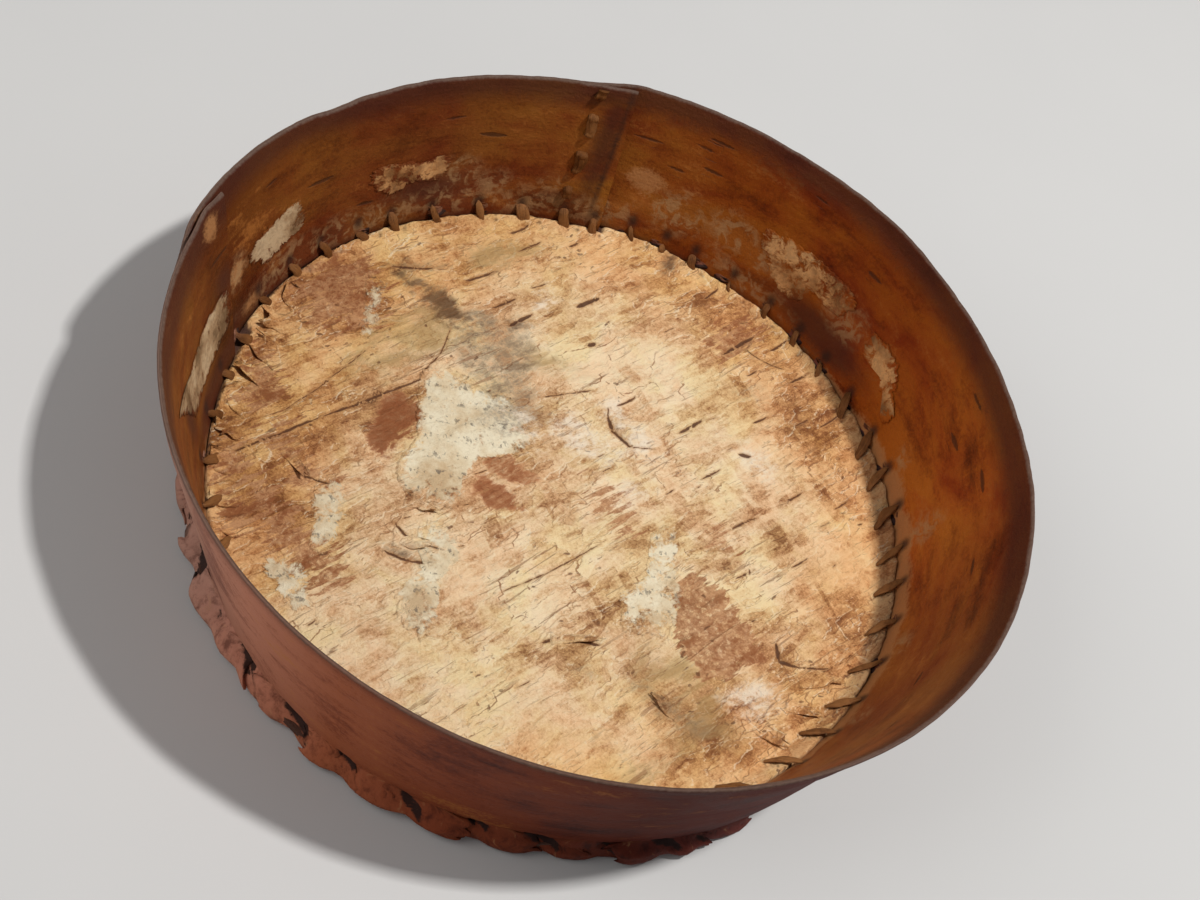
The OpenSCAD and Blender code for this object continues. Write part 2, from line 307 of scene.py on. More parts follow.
def at_back(angle):
    """1 along the back of the wall's foot, where the stitches stand close to the wall, and 0 elsewhere."""
    middle = 130.0
    half = 96.0
    fade = 36.0
    return ease((half - np.abs(turn_apart(angle, middle))) / fade)


def base_angle(i):
    """Angle of base hole i: even steps, a drift that spreads them at the front, and small shifts."""
    even = STITCH_START + i * PITCH
    ring = 7.3
    off = noise(ring * cosd(even) + 31.0, ring * sind(even) + 17.0, 15)
    uneven = mix(1.5, 2.4, at_back(even)) * off
    return even + STITCH_DRIFT * sind(even - 270.0) + uneven


def wall_angle(i):
    """Angle of wall hole i, part of the way to the next base hole."""
    return mix(base_angle(i), base_angle(i + 1), STITCH_LEAD)


def hole_in(angle):
    """Distance of a stitch's inner end inside the wall, less along the back."""
    return mix(3.5, 1.5, at_back(angle))


def hole_up(angle):
    """Height of a stitch's wall end above the base."""
    return mix(3.0, 3.6, at_back(angle))


def base_hole_r(angle):
    """Radius of a stitch's inner end on the base."""
    return wall_in(angle, 0.0) - hole_in(angle)


# Camera

def make_camera():
    """Camera at the photograph's angle: raised over the front, rolled and aimed off the middle."""
    image_w = 1200
    image_h = 900
    focal_px = 1667.0
    middle_px = (562.5, 488.6)
    elevation = 53.07
    roll = 27.49
    distance = 333.6
    sensor = 36.0
    back = np.array([0.0, -cosd(elevation), sind(elevation)])
    right = np.array([1.0, 0.0, 0.0])
    up = np.cross(right, -back)
    rolled_right = cosd(roll) * right + sind(roll) * up
    rolled_up = cosd(roll) * up - sind(roll) * right
    looking = np.array([rolled_right, -rolled_up, -back])
    ray = np.array([(middle_px[0] - image_w / 2) / focal_px, (middle_px[1] - image_h / 2) / focal_px, 1.0])
    ray = ray / np.linalg.norm(ray)
    axis = np.cross([0.0, 0.0, 1.0], ray)
    cross = np.array([[0, -axis[2], axis[1]], [axis[2], 0, -axis[0]], [-axis[1], axis[0], 0]])
    turn = np.eye(3) + cross + cross @ cross / (1 + ray[2])
    axes = turn @ looking
    place = (np.array([0.0, 0.0, BASE_Z1]) + distance * back) * MM
    columns = np.column_stack([axes[0], -axes[1], -axes[2]])
    matrix = np.eye(4)
    matrix[:3, :3] = columns
    matrix[:3, 3] = place
    camera_data = bpy.data.cameras.new("camera")
    camera_data.sensor_width = sensor
    camera_data.lens = focal_px / image_w * sensor
    camera_data.clip_start = 0.01
    camera_data.clip_end = 20.0
    camera = bpy.data.objects.new("camera", camera_data)
    camera.matrix_world = Matrix(matrix.tolist())
    bpy.context.scene.collection.objects.link(camera)
    bpy.context.scene.camera = camera


# Materials

class Finish:
    """A material with a Principled shader, and short calls that add nodes and return outputs."""

    def __init__(self, name):
        """An empty material: output, shader and object coordinates."""
        self.material = bpy.data.materials.new(name)
        self.material.use_nodes = True
        self.tree = self.material.node_tree
        self.tree.nodes.clear()
        self.output = self.tree.nodes.new("ShaderNodeOutputMaterial")
        self.shader = self.tree.nodes.new("ShaderNodeBsdfPrincipled")
        self.tree.links.new(self.shader.outputs["BSDF"], self.output.inputs["Surface"])
        self.place = self.tree.nodes.new("ShaderNodeTexCoord").outputs["Object"]

    def put(self, socket, value):
        """Links a socket's value, or sets a plain one."""
        if isinstance(value, bpy.types.NodeSocket):
            self.tree.links.new(value, socket)
        elif isinstance(value, tuple) and len(value) == 3 and socket.type == "RGBA":
            socket.default_value = (*value, 1.0)
        else:
            socket.default_value = value

    def field(self, name):
        """A number kept on the mesh's points."""
        node = self.tree.nodes.new("ShaderNodeAttribute")
        node.attribute_name = name
        return node.outputs["Fac"]

    def tint(self, name):
        """A colour kept on the mesh's points."""
        node = self.tree.nodes.new("ShaderNodeAttribute")
        node.attribute_name = name
        return node.outputs["Color"]

    def total(self, *parts, start=0.0):
        """The start plus each value times its weight."""
        result = start
        for value, weight in parts:
            node = self.tree.nodes.new("ShaderNodeMath")
            node.operation = "MULTIPLY_ADD"
            self.put(node.inputs[0], value)
            self.put(node.inputs[1], weight)
            self.put(node.inputs[2], result)
            result = node.outputs[0]
        return result

    def ramp(self, value, *stops):
        """Colour read from places and colours in rising order."""
        node = self.tree.nodes.new("ShaderNodeValToRGB")
        elements = node.color_ramp.elements
        while len(elements) < len(stops):
            elements.new(0.5)
        for element, (place, colour) in zip(elements, stops):
            element.position = place
            element.color = (*colour, 1.0)
        self.put(node.inputs[0], value)
        return node.outputs[0]

    def math(self, operation, a, b=0.0):
        """One operation on one or two values."""
        node = self.tree.nodes.new("ShaderNodeMath")
        node.operation = operation
        self.put(node.inputs[0], a)
        self.put(node.inputs[1], b)
        return node.outputs[0]

    def times(self, a, b):
        """Product of two values."""
        return self.math("MULTIPLY", a, b)

    def span(self, value, low, high, start=0.0, end=1.0):
        """The value taken smoothly from low and high to start and end."""
        node = self.tree.nodes.new("ShaderNodeMapRange")
        node.interpolation_type = "SMOOTHSTEP"
        for n, part in enumerate((value, low, high, start, end)):
            self.put(node.inputs[n], part)
        return node.outputs[0]

    def patch(self, name, ragged, soft, rough=1.0):
        """Share of a mark: its field on the points, made ragged, over a soft edge."""
        return self.span(self.total((ragged, rough), start=self.field(name)), -soft, soft)

    def vector(self, x, y, z=0.0):
        """Coordinates from three values."""
        node = self.tree.nodes.new("ShaderNodeCombineXYZ")
        for n, part in enumerate((x, y, z)):
            self.put(node.inputs[n], part)
        return node.outputs[0]

    def turned(self, place, degrees, scale, moved=(0.0, 0.0, 0.0)):
        """Coordinates turned about Z, moved, then scaled."""
        turning = self.tree.nodes.new("ShaderNodeMapping")
        turning.inputs["Location"].default_value = moved
        turning.inputs["Rotation"].default_value = (0.0, 0.0, np.radians(-degrees))
        self.put(turning.inputs["Vector"], place)
        scaling = self.tree.nodes.new("ShaderNodeMapping")
        scaling.inputs["Scale"].default_value = scale
        self.put(scaling.inputs["Vector"], turning.outputs[0])
        return scaling.outputs[0]

    def noise(self, place, scale, detail=4.0, roughness=0.55, distortion=0.0):
        """Fractal noise, about 0.5 on average."""
        node = self.tree.nodes.new("ShaderNodeTexNoise")
        self.put(node.inputs["Vector"], place)
        self.put(node.inputs["Scale"], scale)
        self.put(node.inputs["Detail"], detail)
        self.put(node.inputs["Roughness"], roughness)
        self.put(node.inputs["Distortion"], distortion)
        return node.outputs["Fac"]

    def cells(self, place):
        """Distance to the nearest point of a cell pattern."""
        node = self.tree.nodes.new("ShaderNodeTexVoronoi")
        node.feature = "F1"
        node.inputs["Scale"].default_value = 1.0
        self.put(node.inputs["Vector"], place)
        return node.outputs["Distance"]

    def plates(self, place):
        """A number for each plate of a pattern of square cells, the same all over that plate."""
        node = self.tree.nodes.new("ShaderNodeTexVoronoi")
        node.feature = "F1"
        node.distance = "CHEBYCHEV"
        node.inputs["Scale"].default_value = 1.0
        self.put(node.inputs["Vector"], place)
        return node.outputs["Color"]

    def shaken(self, place, scale, amount):
        """Coordinates moved by a noise of three numbers."""
        node = self.tree.nodes.new("ShaderNodeTexNoise")
        self.put(node.inputs["Vector"], place)
        node.inputs["Scale"].default_value = scale
        node.inputs["Detail"].default_value = 4.0
        moved = self.tree.nodes.new("ShaderNodeVectorMath")
        moved.operation = "MULTIPLY_ADD"
        self.put(moved.inputs[0], node.outputs["Color"])
        moved.inputs[1].default_value = (amount, amount, amount)
        self.put(moved.inputs[2], place)
        return moved.outputs[0]

    def blend(self, share, a, b, kind="MIX"):
        """Colour a going to colour b by the share."""
        node = self.tree.nodes.new("ShaderNodeMix")
        node.data_type = "RGBA"
        node.blend_type = kind
        self.put(node.inputs[0], share)
        self.put(node.inputs[6], a)
        self.put(node.inputs[7], b)
        return node.outputs[2]

    def relief(self, height, distance, strength):
        """Normal of a surface raised by the height."""
        node = self.tree.nodes.new("ShaderNodeBump")
        node.inputs["Strength"].default_value = strength
        node.inputs["Distance"].default_value = distance
        self.put(node.inputs["Height"], height)
        return node.outputs["Normal"]

    def finish(self, colour, roughness, normal, specular):
        """Sets the shader and gives the finished material."""
        self.put(self.shader.inputs["Base Color"], colour)
        self.put(self.shader.inputs["Roughness"], roughness)
        self.put(self.shader.inputs["Normal"], normal)
        self.shader.inputs["Specular IOR Level"].default_value = specular
        return self.material


# Colours of the base's face and of its marks; ramps are places and colours in rising order
WHITE_LIGHT = (1.0, 1.0, 1.0)
BASE_TONES = (
    (0.350, (0.24, 0.095, 0.036)), (0.405, (0.51, 0.270, 0.120)), (0.445, (0.70, 0.428, 0.220)),
    (0.480, (0.83, 0.570, 0.326)), (0.520, (0.92, 0.680, 0.412)), (0.575, (0.97, 0.770, 0.500)),
)
BASE_HUES = ((0.38, (1.0, 0.93, 0.90)), (0.48, WHITE_LIGHT), (0.60, (0.98, 0.985, 0.87)))
RUST_TONES = (
    (0.40, (0.20, 0.056, 0.017)), (0.47, (0.32, 0.101, 0.034)),
    (0.53, (0.43, 0.175, 0.070)), (0.60, (0.68, 0.39, 0.200)),
)
RUST_DEEP_TONE = (0.255, 0.074, 0.022)
WARM_TONE = (0.98, 0.82, 0.62)
# Painted highlight and painted shade for the edges of plates and layers
PLATE_LIT_TONE = (0.97, 0.80, 0.54)
PLATE_SHADE_TONE = (0.36, 0.155, 0.060)
LAYER_LIT_TONE = (0.98, 0.84, 0.60)
LAYER_SHADE_TONE = (0.33, 0.140, 0.052)
OLIVE_TONE = (0.45, 0.27, 0.100)
GREY_TONE = (0.270, 0.185, 0.110)
BRUSH_DARK_TONE = (0.31, 0.103, 0.034)
BRUSH_LIGHT_TONE = (0.60, 0.305, 0.140)
WHITE_TONE = (0.95, 0.80, 0.61)
DUSK_TONE = (0.12, 0.055, 0.024)
SCRATCH_TONE = (0.30, 0.120, 0.042)
HAIR_TONE = (0.36, 0.160, 0.060)
PORE_TONE = (0.17, 0.070, 0.028)
SPECK_TONE = (0.34, 0.150, 0.058)
SLIT_SIDE_TONE = (0.50, 0.250, 0.100)
SLIT_BROWN_TONE = (0.24, 0.088, 0.030)
SLIT_DARK_TONE = (0.085, 0.030, 0.014)
# Painted shade in the holes, in the crease along the wall's foot and under the sheet and flakes
HOLE_SHADE_TONE = (0.085, 0.037, 0.016)
# Dark cut edge, also used for painted shade on the right margin near the wall
CUT_EDGE_AND_SHADE_TONE = (0.10, 0.042, 0.026)
# Depth in metres and strength of the bark's fine relief
BASE_RELIEF = (0.0012, 0.9)
WALL_RELIEF = (0.0006, 0.8)
# Steps that compare a pattern with itself a little way towards the light, to shade its edges
STILL = (0.0, 0.0, 0.0)
TO_LIGHT = (0.00028, -0.00021, 0.0)


def base_look(f):
    """Colour and height of the base's face: peach clouds, plates along the grain with painted lit and
    shaded edges, its marks.
    """
    def grained(turn, scale, *kind):
        """Noise drawn out along the grain, turned a little off it."""
        return f.noise(f.turned(f.place, GRAIN + turn, scale), 1.0, *kind)

    cloud = f.noise(f.place, 42.0, 9.0, 0.64, 0.5)
    hue = f.noise(f.place, 75.0, 5.0, 0.6, 0.4)
    fine = f.noise(f.place, 600.0, 8.0, 0.78)
    grit = f.noise(f.place, 2300.0, 4.0, 0.70)
    plate = grained(0.0, (105.0, 250.0, 200.0), 9.0, 0.70, 0.5)
    stroke = grained(6.0, (75.0, 900.0, 500.0), 5.0, 0.64, 0.35)
    spike = grained(3.0, (120.0, 820.0, 400.0), 3.0, 0.55, 0.25)
    hair = grained(2.0, (110.0, 2600.0, 900.0), 3.0, 0.6, 0.2)
    pore = f.cells(f.turned(f.shaken(f.place, 160.0, 0.006), GRAIN, (230.0, 420.0, 200.0)))
    warped = f.shaken(f.place, 110.0, 0.006)
    crumpled = f.shaken(f.place, 320.0, 0.0024)
    ragged = f.total((cloud, 8.0), (plate, 8.0), (fine, 2.5), start=-9.25)
    mottle = f.total((plate, 0.5), (fine, 0.5))

    def plated(place, turn, scale):
        """Numbers of the plates here and a step towards the light."""
        return [f.plates(f.turned(place, GRAIN + turn, scale, moved)) for moved in (STILL, TO_LIGHT)]

    def layered(scale, level):
        """Shares of a thin layer left on the base, here and a step towards the light."""
        places = [f.turned(warped, GRAIN, scale, moved) for moved in (STILL, TO_LIGHT)]
        sheets = [f.noise(place, 1.0, 4.0, 0.50, 0.2) for place in places]
        return [f.span(sheet, level - 0.005, level + 0.005) for sheet in sheets]

    def crumbled(mask, value, low, high, share):
        """A mask broken up where the value is low."""
        return f.times(mask, f.span(value, low, high, 0.12 * share, share))

    large, large_next = plated(warped, 0.0, (95.0, 210.0, 1.0))
    small, small_next = plated(crumpled, 4.0, (250.0, 560.0, 1.0))
    broad, broad_next = layered((58.0, 150.0, 100.0), 0.50)
    thin, thin_next = layered((150.0, 420.0, 300.0), 0.56)
    peeled = f.span(cloud, 0.46, 0.56)
    torn = f.times(f.span(plate, 0.47, 0.55), f.span(cloud, 0.40, 0.52))
    pale = f.patch("pale", ragged, 5.0)

    # Ground colour
    tone = f.total(
        (cloud, 0.16), (plate, 0.24), (stroke, 0.17), (fine, 0.25), (grit, 0.18), (large, 0.060),
        start=-0.062,
    )
    tone = f.total((f.times(small, peeled), 0.060), (broad, 0.024), (thin, -0.028), start=tone)
    tan = f.patch("tan", ragged, 4.0)
    chip = f.patch("chip", ragged, 0.12, 0.10)
    tone = f.total((pale, 0.062), (tan, -0.080), (chip, -0.045), start=tone)
    colour = f.ramp(tone, *BASE_TONES)
    colour = f.blend(f.field("warm"), colour, f.blend(1.0, colour, WARM_TONE, "MULTIPLY"))

    # Painted highlights and painted shade on the edges of plates and layers, by the side that faces the
    # light or turns from it
    step = f.total((large_next, 1.0), (large, -1.0))
    small_step = f.total((small_next, 1.0), (small, -1.0))
    shaded_small = f.times(f.span(small_step, 0.1, 0.35), peeled)
    shaded = f.math("MAXIMUM", f.span(step, 0.05, 0.25), shaded_small)
    shone = f.span(step, -0.25, -0.08, 0.5, 0.0)
    colour = f.blend(f.times(shone, torn), colour, PLATE_LIT_TONE)
    colour = f.blend(f.times(f.times(shaded, torn), 0.8), colour, PLATE_SHADE_TONE)
    colour = f.blend(1.0, colour, f.ramp(hue, *BASE_HUES), "MULTIPLY")
    rise = f.total((broad, 1.0), (broad_next, -1.0), (thin_next, 0.8), (thin, -0.8))
    seen = f.times(f.span(mottle, 0.46, 0.53), f.span(pale, 0.0, 1.0, 1.0, 0.35))
    colour = f.blend(f.times(f.span(rise, 0.1, 1.0, 0.0, 0.45), seen), colour, LAYER_LIT_TONE)
    colour = f.blend(f.times(f.span(rise, -1.0, -0.1, 0.6, 0.0), seen), colour, LAYER_SHADE_TONE)

    # Patches of colour
    olive = crumbled(f.patch("olive", ragged, 2.5), plate, 0.35, 0.6, 0.8)
    colour = f.blend(olive, colour, OLIVE_TONE)
    grey = crumbled(f.patch("grey", ragged, 2.5), mottle, 0.40, 0.58, 0.85)
    colour = f.blend(grey, colour, GREY_TONE)
    rust = f.ramp(f.total((plate, 0.50), (stroke, 0.22), (fine, 0.28)), *RUST_TONES)
    rust = f.blend(f.times(f.field("deep"), 0.75), rust, RUST_DEEP_TONE)
    rust_mask = f.times(f.patch("rust", ragged, 0.8, 1.3), f.span(mottle, 0.37, 0.46, 0.30, 1.0))
    colour = f.blend(f.times(rust_mask, 0.95), colour, rust)
    brushed = f.span(f.total((spike, 24.0), start=f.math("ADD", f.field("brush"), -12.6)), -0.5, 0.8)
    brush_tone = f.blend(f.span(mottle, 0.43, 0.57), BRUSH_DARK_TONE, BRUSH_LIGHT_TONE)
    colour = f.blend(f.times(brushed, f.span(fine, 0.52, 0.62, 0.88, 0.35)), colour, brush_tone)
    white = crumbled(f.patch("white", ragged, 2.0, 1.3), mottle, 0.42, 0.56, 0.85)
    colour = f.blend(white, colour, WHITE_TONE)
    dusk = crumbled(f.patch("dusk", ragged, 1.4), plate, 0.30, 0.48, 0.85)
    colour = f.blend(dusk, colour, DUSK_TONE)

    # Scratches, fibres, pores and specks
    scratch = f.times(f.span(stroke, 0.610, 0.65), f.span(cloud, 0.42, 0.54))
    colour = f.blend(f.times(scratch, 0.6), colour, SCRATCH_TONE)
    hairs = f.times(f.span(hair, 0.62, 0.68), f.span(plate, 0.42, 0.56))
    colour = f.blend(f.times(hairs, 0.55), colour, HAIR_TONE)
    dots = f.times(f.span(pore, 0.11, 0.18, 0.8, 0.0), f.span(cloud, 0.50, 0.58))
    colour = f.blend(dots, colour, PORE_TONE)
    colour = f.blend(f.span(fine, 0.61, 0.68, 0.0, 0.6), colour, SPECK_TONE)

    # Slits and cracks: brown beside them, dark within
    width = f.total((fine, 0.95), start=f.math("SUBTRACT", f.field("slit_w"), 0.50))
    within = f.math("SUBTRACT", width, f.math("ABSOLUTE", f.field("slit_v")))
    slit = f.span(within, -0.07, 0.09)
    beside = f.span(f.math("ADD", within, 0.30), -0.2, 0.3, 0.0, 0.5)
    colour = f.blend(beside, colour, SLIT_SIDE_TONE)
    slit_tone = f.blend(f.span(within, 0.02, 0.22), SLIT_BROWN_TONE, SLIT_DARK_TONE)
    colour = f.blend(f.times(slit, 0.9), colour, slit_tone)

    height = f.total(
        (plate, 0.9), (fine, 0.60), (cloud, 0.4), (stroke, 0.30), (large, 0.22), (small, 0.14),
        (grit, 0.20), (scratch, -0.12), (slit, -0.30), (rust_mask, -0.12), (dots, -0.12),
        (broad, 0.10), (thin, -0.08), (hairs, -0.08),
    )
    return {"colour": colour, "height": height, "cloud": cloud, "ragged": ragged}


def base_bark():
    """Bark of the base: its marked face, painted shade at the holes, along the wall's foot and under
    flakes, dark on its edge, painted shade on the right margin.
    """
    f = Finish("base_bark")
    own = base_look(f)
    # Painted shade in the holes, in the crease along the wall's foot and under the sheet and flakes
    hole = f.span(f.total((own["ragged"], 0.06), start=f.field("margin")), 0.3, 0.95, 0.0, 0.9)
    colour = f.blend(hole, own["colour"], HOLE_SHADE_TONE)
    # Dark on the cut edge and under the wall, and painted shade on the right margin
    colour = f.blend(f.field("edge"), colour, CUT_EDGE_AND_SHADE_TONE)
    rough = f.span(own["cloud"], 0.3, 0.7, 0.58, 0.74)
    return f.finish(colour, rough, f.relief(own["height"], *BASE_RELIEF), 0.25)


# Colours of the wall's bark and of its marks
WALL_SHADES = (
    (0.38, (0.34, 0.27, 0.30)), (0.45, (0.70, 0.61, 0.57)), (0.50, (0.96, 0.94, 0.90)), (0.55, WHITE_LIGHT),
)
WALL_HUES = ((0.38, (0.74, 0.52, 0.60)), (0.48, WHITE_LIGHT), (0.59, (1.14, 1.42, 1.3)))
RUBBED_TONE = (0.50, 0.19, 0.042)
PLUM_TONE = (0.062, 0.017, 0.011)
BARE_TONE = (0.44, 0.205, 0.078)
DUST_TONE = (0.40, 0.245, 0.115)
# Painted shade for the wall's holes and foot, the foot's slits and the lap's edge
FOOT_AND_LAP_SHADE_TONE = (0.040, 0.017, 0.012)
MARK_TONE = (0.050, 0.018, 0.009)
RIM_DARK_TONE = (0.040, 0.022, 0.016)
RIM_GREY_TONE = (0.23, 0.155, 0.115)


def wall_look(f):
    """Colour and height of the wall: rubbed and drawn along its face, with the marks kept on its points."""
    skin = f.vector(f.field("along"), f.field("up"), f.field("inner"))
    cloud = f.noise(f.turned(skin, 0.0, (0.050, 0.060, 1.0)), 1.0, 9.0, 0.62, 0.4)
    drawn = f.noise(f.turned(skin, 0.0, (0.07, 0.26, 1.0)), 1.0, 7.0, 0.62, 0.4)
    banding = f.noise(f.turned(skin, 0.0, (0.08, 1.3, 1.0)), 1.0, 6.0, 0.66)
    hue = f.noise(f.turned(skin, 0.0, (0.035, 0.055, 1.0)), 1.0, 6.0, 0.62, 0.5)
    rubbed = f.noise(skin, 0.34, 6.0, 0.60, 0.7)
    fine = f.noise(skin, 1.1, 7.0, 0.72)
    ragged = f.total((cloud, 5.0), (fine, 4.0), (drawn, 3.0), start=-6.0)

    # Ground colour, from the tint kept on the points, which inside holds painted light by angle
    tone = f.total((cloud, 0.46), (drawn, 0.28), (banding, 0.04), (fine, 0.22))
    bark = f.blend(1.0, f.tint("own"), f.ramp(tone, *WALL_SHADES), "MULTIPLY")
    bark = f.blend(f.field("inner"), bark, f.blend(1.0, bark, f.ramp(hue, *WALL_HUES), "MULTIPLY"))
    bark = f.blend(f.span(tone, 0.53, 0.62, 0.0, 0.45), bark, RUBBED_TONE)

    # Patches, painted shade at the foot, in its slits and along the lap's edge, short marks and the worn
    # rim
    bark = f.blend(f.times(f.patch("plum", ragged, 2.2), 0.78), bark, PLUM_TONE)
    bark = f.blend(f.times(f.patch("bare", ragged, 0.9), 0.75), bark, BARE_TONE)
    dust = f.times(f.patch("dust", ragged, 2.2), f.span(rubbed, 0.45, 0.58, 0.05, 0.60))
    bark = f.blend(dust, bark, DUST_TONE)
    # Painted shade at the wall's holes, along its inner foot, in the foot's slits outside and along the
    # lap's edge
    bark = f.blend(f.times(f.patch("foot_and_lap_shade", ragged, 0.8, 0.25), 0.85), bark, FOOT_AND_LAP_SHADE_TONE)
    width = f.total((fine, 1.2), start=f.math("SUBTRACT", f.field("slit_w"), 0.6))
    mark = f.span(f.math("SUBTRACT", width, f.math("ABSOLUTE", f.field("slit_v"))), -0.2, 0.2)
    bark = f.blend(f.times(mark, 0.75), bark, MARK_TONE)
    worn = f.span(f.total((ragged, 0.15), start=f.field("rim")), 0.35, 0.9, 0.0, 0.75)
    bark = f.blend(worn, bark, f.blend(fine, RIM_DARK_TONE, RIM_GREY_TONE))
    height = f.total((fine, 0.6), (banding, 0.2), (cloud, 0.9), (drawn, 0.4), (mark, -0.4))
    return {"colour": bark, "height": height, "cloud": cloud}


def wall_bark():
    """Bark of the wall strips: rubbed orange brown inside, mauve to dark red brown outside, a worn rim."""
    f = Finish("wall_bark")
    own = wall_look(f)
    rough = f.total((f.field("inner"), -0.25), start=f.span(own["cloud"], 0.35, 0.65, 0.64, 0.80))
    return f.finish(own["colour"], rough, f.relief(own["height"], *WALL_RELIEF), 0.12)


# Colours of the split root
ROOT_SHADES = ((0.38, (0.42, 0.36, 0.34)), (0.50, (0.92, 0.90, 0.88)), (0.60, WHITE_LIGHT))
ROOT_DARK_TONE = (0.15, 0.052, 0.012)
ROOT_LIGHT_TONE = (0.37, 0.165, 0.055)
FIBRE_TONE = (0.48, 0.27, 0.12)
# Painted shade on the undersides of the stitches inside
ROOT_SIDE_SHADE_TONE = (0.032, 0.014, 0.008)
# Painted shade in the foot's slits
GAP_SHADE_TONE = (0.020, 0.009, 0.007)
ROOT_RELIEF = (0.0005, 0.8)


def split_root():
    """Split root: fibres along its length, each stitch its own tone inside, the wall's outside."""
    f = Finish("split_root")
    skin = f.vector(f.field("along"), f.field("round"), 0.0)
    fibre = f.noise(f.turned(skin, 0.0, (0.30, 5.0, 1.0)), 1.0, 6.0, 0.66)
    mottle = f.noise(f.place, 420.0, 6.0, 0.68)
    shade = f.ramp(f.total((fibre, 0.5), (mottle, 0.5)), *ROOT_SHADES)
    brown = f.blend(f.field("tone"), ROOT_DARK_TONE, ROOT_LIGHT_TONE)
    both = f.blend(f.field("inner"), f.tint("own"), brown)
    colour = f.blend(1.0, both, shade, "MULTIPLY")
    colour = f.blend(f.span(fibre, 0.58, 0.70, 0.0, 0.30), colour, FIBRE_TONE)
    # Painted shade on the underside and lower flanks of each stitch inside
    side = f.times(f.span(f.field("crown"), 0.05, 0.50, 0.85, 0.0), f.field("inner"))
    colour = f.blend(side, colour, ROOT_SIDE_SHADE_TONE)
    # Painted shade in the slits of the foot, where the root passes them
    ragged = f.total((mottle, 0.8), (fibre, 0.4), start=-0.6)
    gap = f.span(f.math("ADD", f.field("gap"), ragged), -0.09, 0.09)
    colour = f.blend(f.times(gap, 0.94), colour, GAP_SHADE_TONE)
    height = f.total((fibre, 0.7), (mottle, 0.6))
    return f.finish(colour, f.span(fibre, 0.3, 0.7, 0.5, 0.66), f.relief(height, *ROOT_RELIEF), 0.12)


def specks(f, worn):
    """Share of broken dark specks in faint rows across the paper."""
    row_step = 4.4 * MM
    row_turn = 25.0
    split = f.tree.nodes.new("ShaderNodeSeparateXYZ")
    f.put(split.inputs[0], f.turned(f.place, row_turn, (1.0, 1.0, 1.0)))
    phase = f.math("PINGPONG", split.outputs[1], row_step / 2)
    in_row = f.span(phase, 0.15 * row_step, 0.26 * row_step, 1.0, 0.0)
    grain = f.noise(f.turned(f.place, row_turn, (900.0, 620.0, 300.0)), 1.0, 3.0, 0.6)
    broken = f.times(f.span(grain, 0.53, 0.60), f.span(worn, 0.40, 0.56))
    return f.times(f.times(in_row, broken), 0.75)


# Colours of the paper
WALL_PAPER = ((0.38, (0.17, 0.100, 0.047)), (0.48, (0.36, 0.233, 0.124)), (0.58, (0.52, 0.378, 0.224)))
FLOOR_PAPER = ((0.36, (0.57, 0.407, 0.233)), (0.47, (0.71, 0.578, 0.378)), (0.58, (0.80, 0.700, 0.500)))
BROWNED_TONE = (1.40, 1.08, 0.76)
SMUDGE_TONE = (0.33, 0.285, 0.22)
WALL_FLECK_TONE = (0.17, 0.105, 0.060)
FLOOR_FLECK_TONE = (0.46, 0.31, 0.17)
PAPER_SPECK_TONE = (0.13, 0.105, 0.080)


def paper_lining(name, on_wall):
    """Old lining: thin pale paper, foxed, flecked, smudged and worn through to the bark."""
    f = Finish(name)
    under = wall_look(f) if on_wall else base_look(f)
    cloud = f.noise(f.place, 130.0, 7.0, 0.62)
    pulp = f.noise(f.place, 1300.0, 5.0, 0.68)
    worn = f.noise(f.place, 330.0, 8.0, 0.72, 0.4)
    flecked = f.span(pulp, 0.54, 0.70, 0.0, 0.45)
    if on_wall:
        sheet = f.ramp(cloud, *WALL_PAPER)
        sheet = f.blend(f.field("browned"), sheet, f.blend(1.0, sheet, BROWNED_TONE, "MULTIPLY"))
        sheet = f.blend(flecked, sheet, WALL_FLECK_TONE)
        sheet = f.blend(f.span(worn, 0.50, 0.62, 0.0, 0.30), sheet, WALL_FLECK_TONE)
    else:
        sheet = f.ramp(cloud, *FLOOR_PAPER)
        grey = f.span(f.total((under["ragged"], 1.0), start=f.field("grey")), -2.5, 2.0)
        sheet = f.blend(f.times(grey, f.span(pulp, 0.4, 0.6, 0.1, 0.75)), sheet, SMUDGE_TONE)
        sheet = f.blend(flecked, sheet, FLOOR_FLECK_TONE)
        sheet = f.blend(specks(f, worn), sheet, PAPER_SPECK_TONE)
    wholeness = 0.13 if on_wall else 0.20
    kept = f.span(f.total((worn, 1.0), start=f.times(f.field("whole"), wholeness)), 0.46, 0.60)
    colour = f.blend(kept, under["colour"], sheet)
    even = 1.4
    own_relief = f.times(f.math("SUBTRACT", under["height"], even), f.span(kept, 0.0, 1.0, 1.0, 0.5))
    height = f.total((pulp, 0.20), (kept, 0.05), start=own_relief)
    bark_relief = WALL_RELIEF if on_wall else BASE_RELIEF
    return f.finish(colour, 0.7, f.relief(height, *bark_relief), 0.15)


def pale_floor():
    """Plain pale ground with the faintest mottle."""
    f = Finish("pale_floor")
    mottle = f.noise(f.place, 14.0, 3.0, 0.5)
    colour = f.blend(mottle, (0.54, 0.53, 0.515), (0.57, 0.56, 0.54))
    return f.finish(colour, 0.9, f.relief(mottle, 0.0001, 0.1), 0.1)


# Base sheet: marks seen on its upper face

# Outlines of rust brown places
RUST_SHAPES = (
    (
        (-41, -1), (-38, 2.5), (-32.5, 1.5), (-31.5, -5), (-31.5, -13), (-35, -15.5), (-40, -8),
    ),
    (
        (-17, -2.5), (-12.5, 0.8), (-5.5, 0.5), (-7, -3.5), (-12, -4.5), (-17, -4.0),
    ),
    (
        (-17, -6), (-9, -5.5), (-5, -9), (-9, -12.5), (-16.5, -12.5),
    ),
)
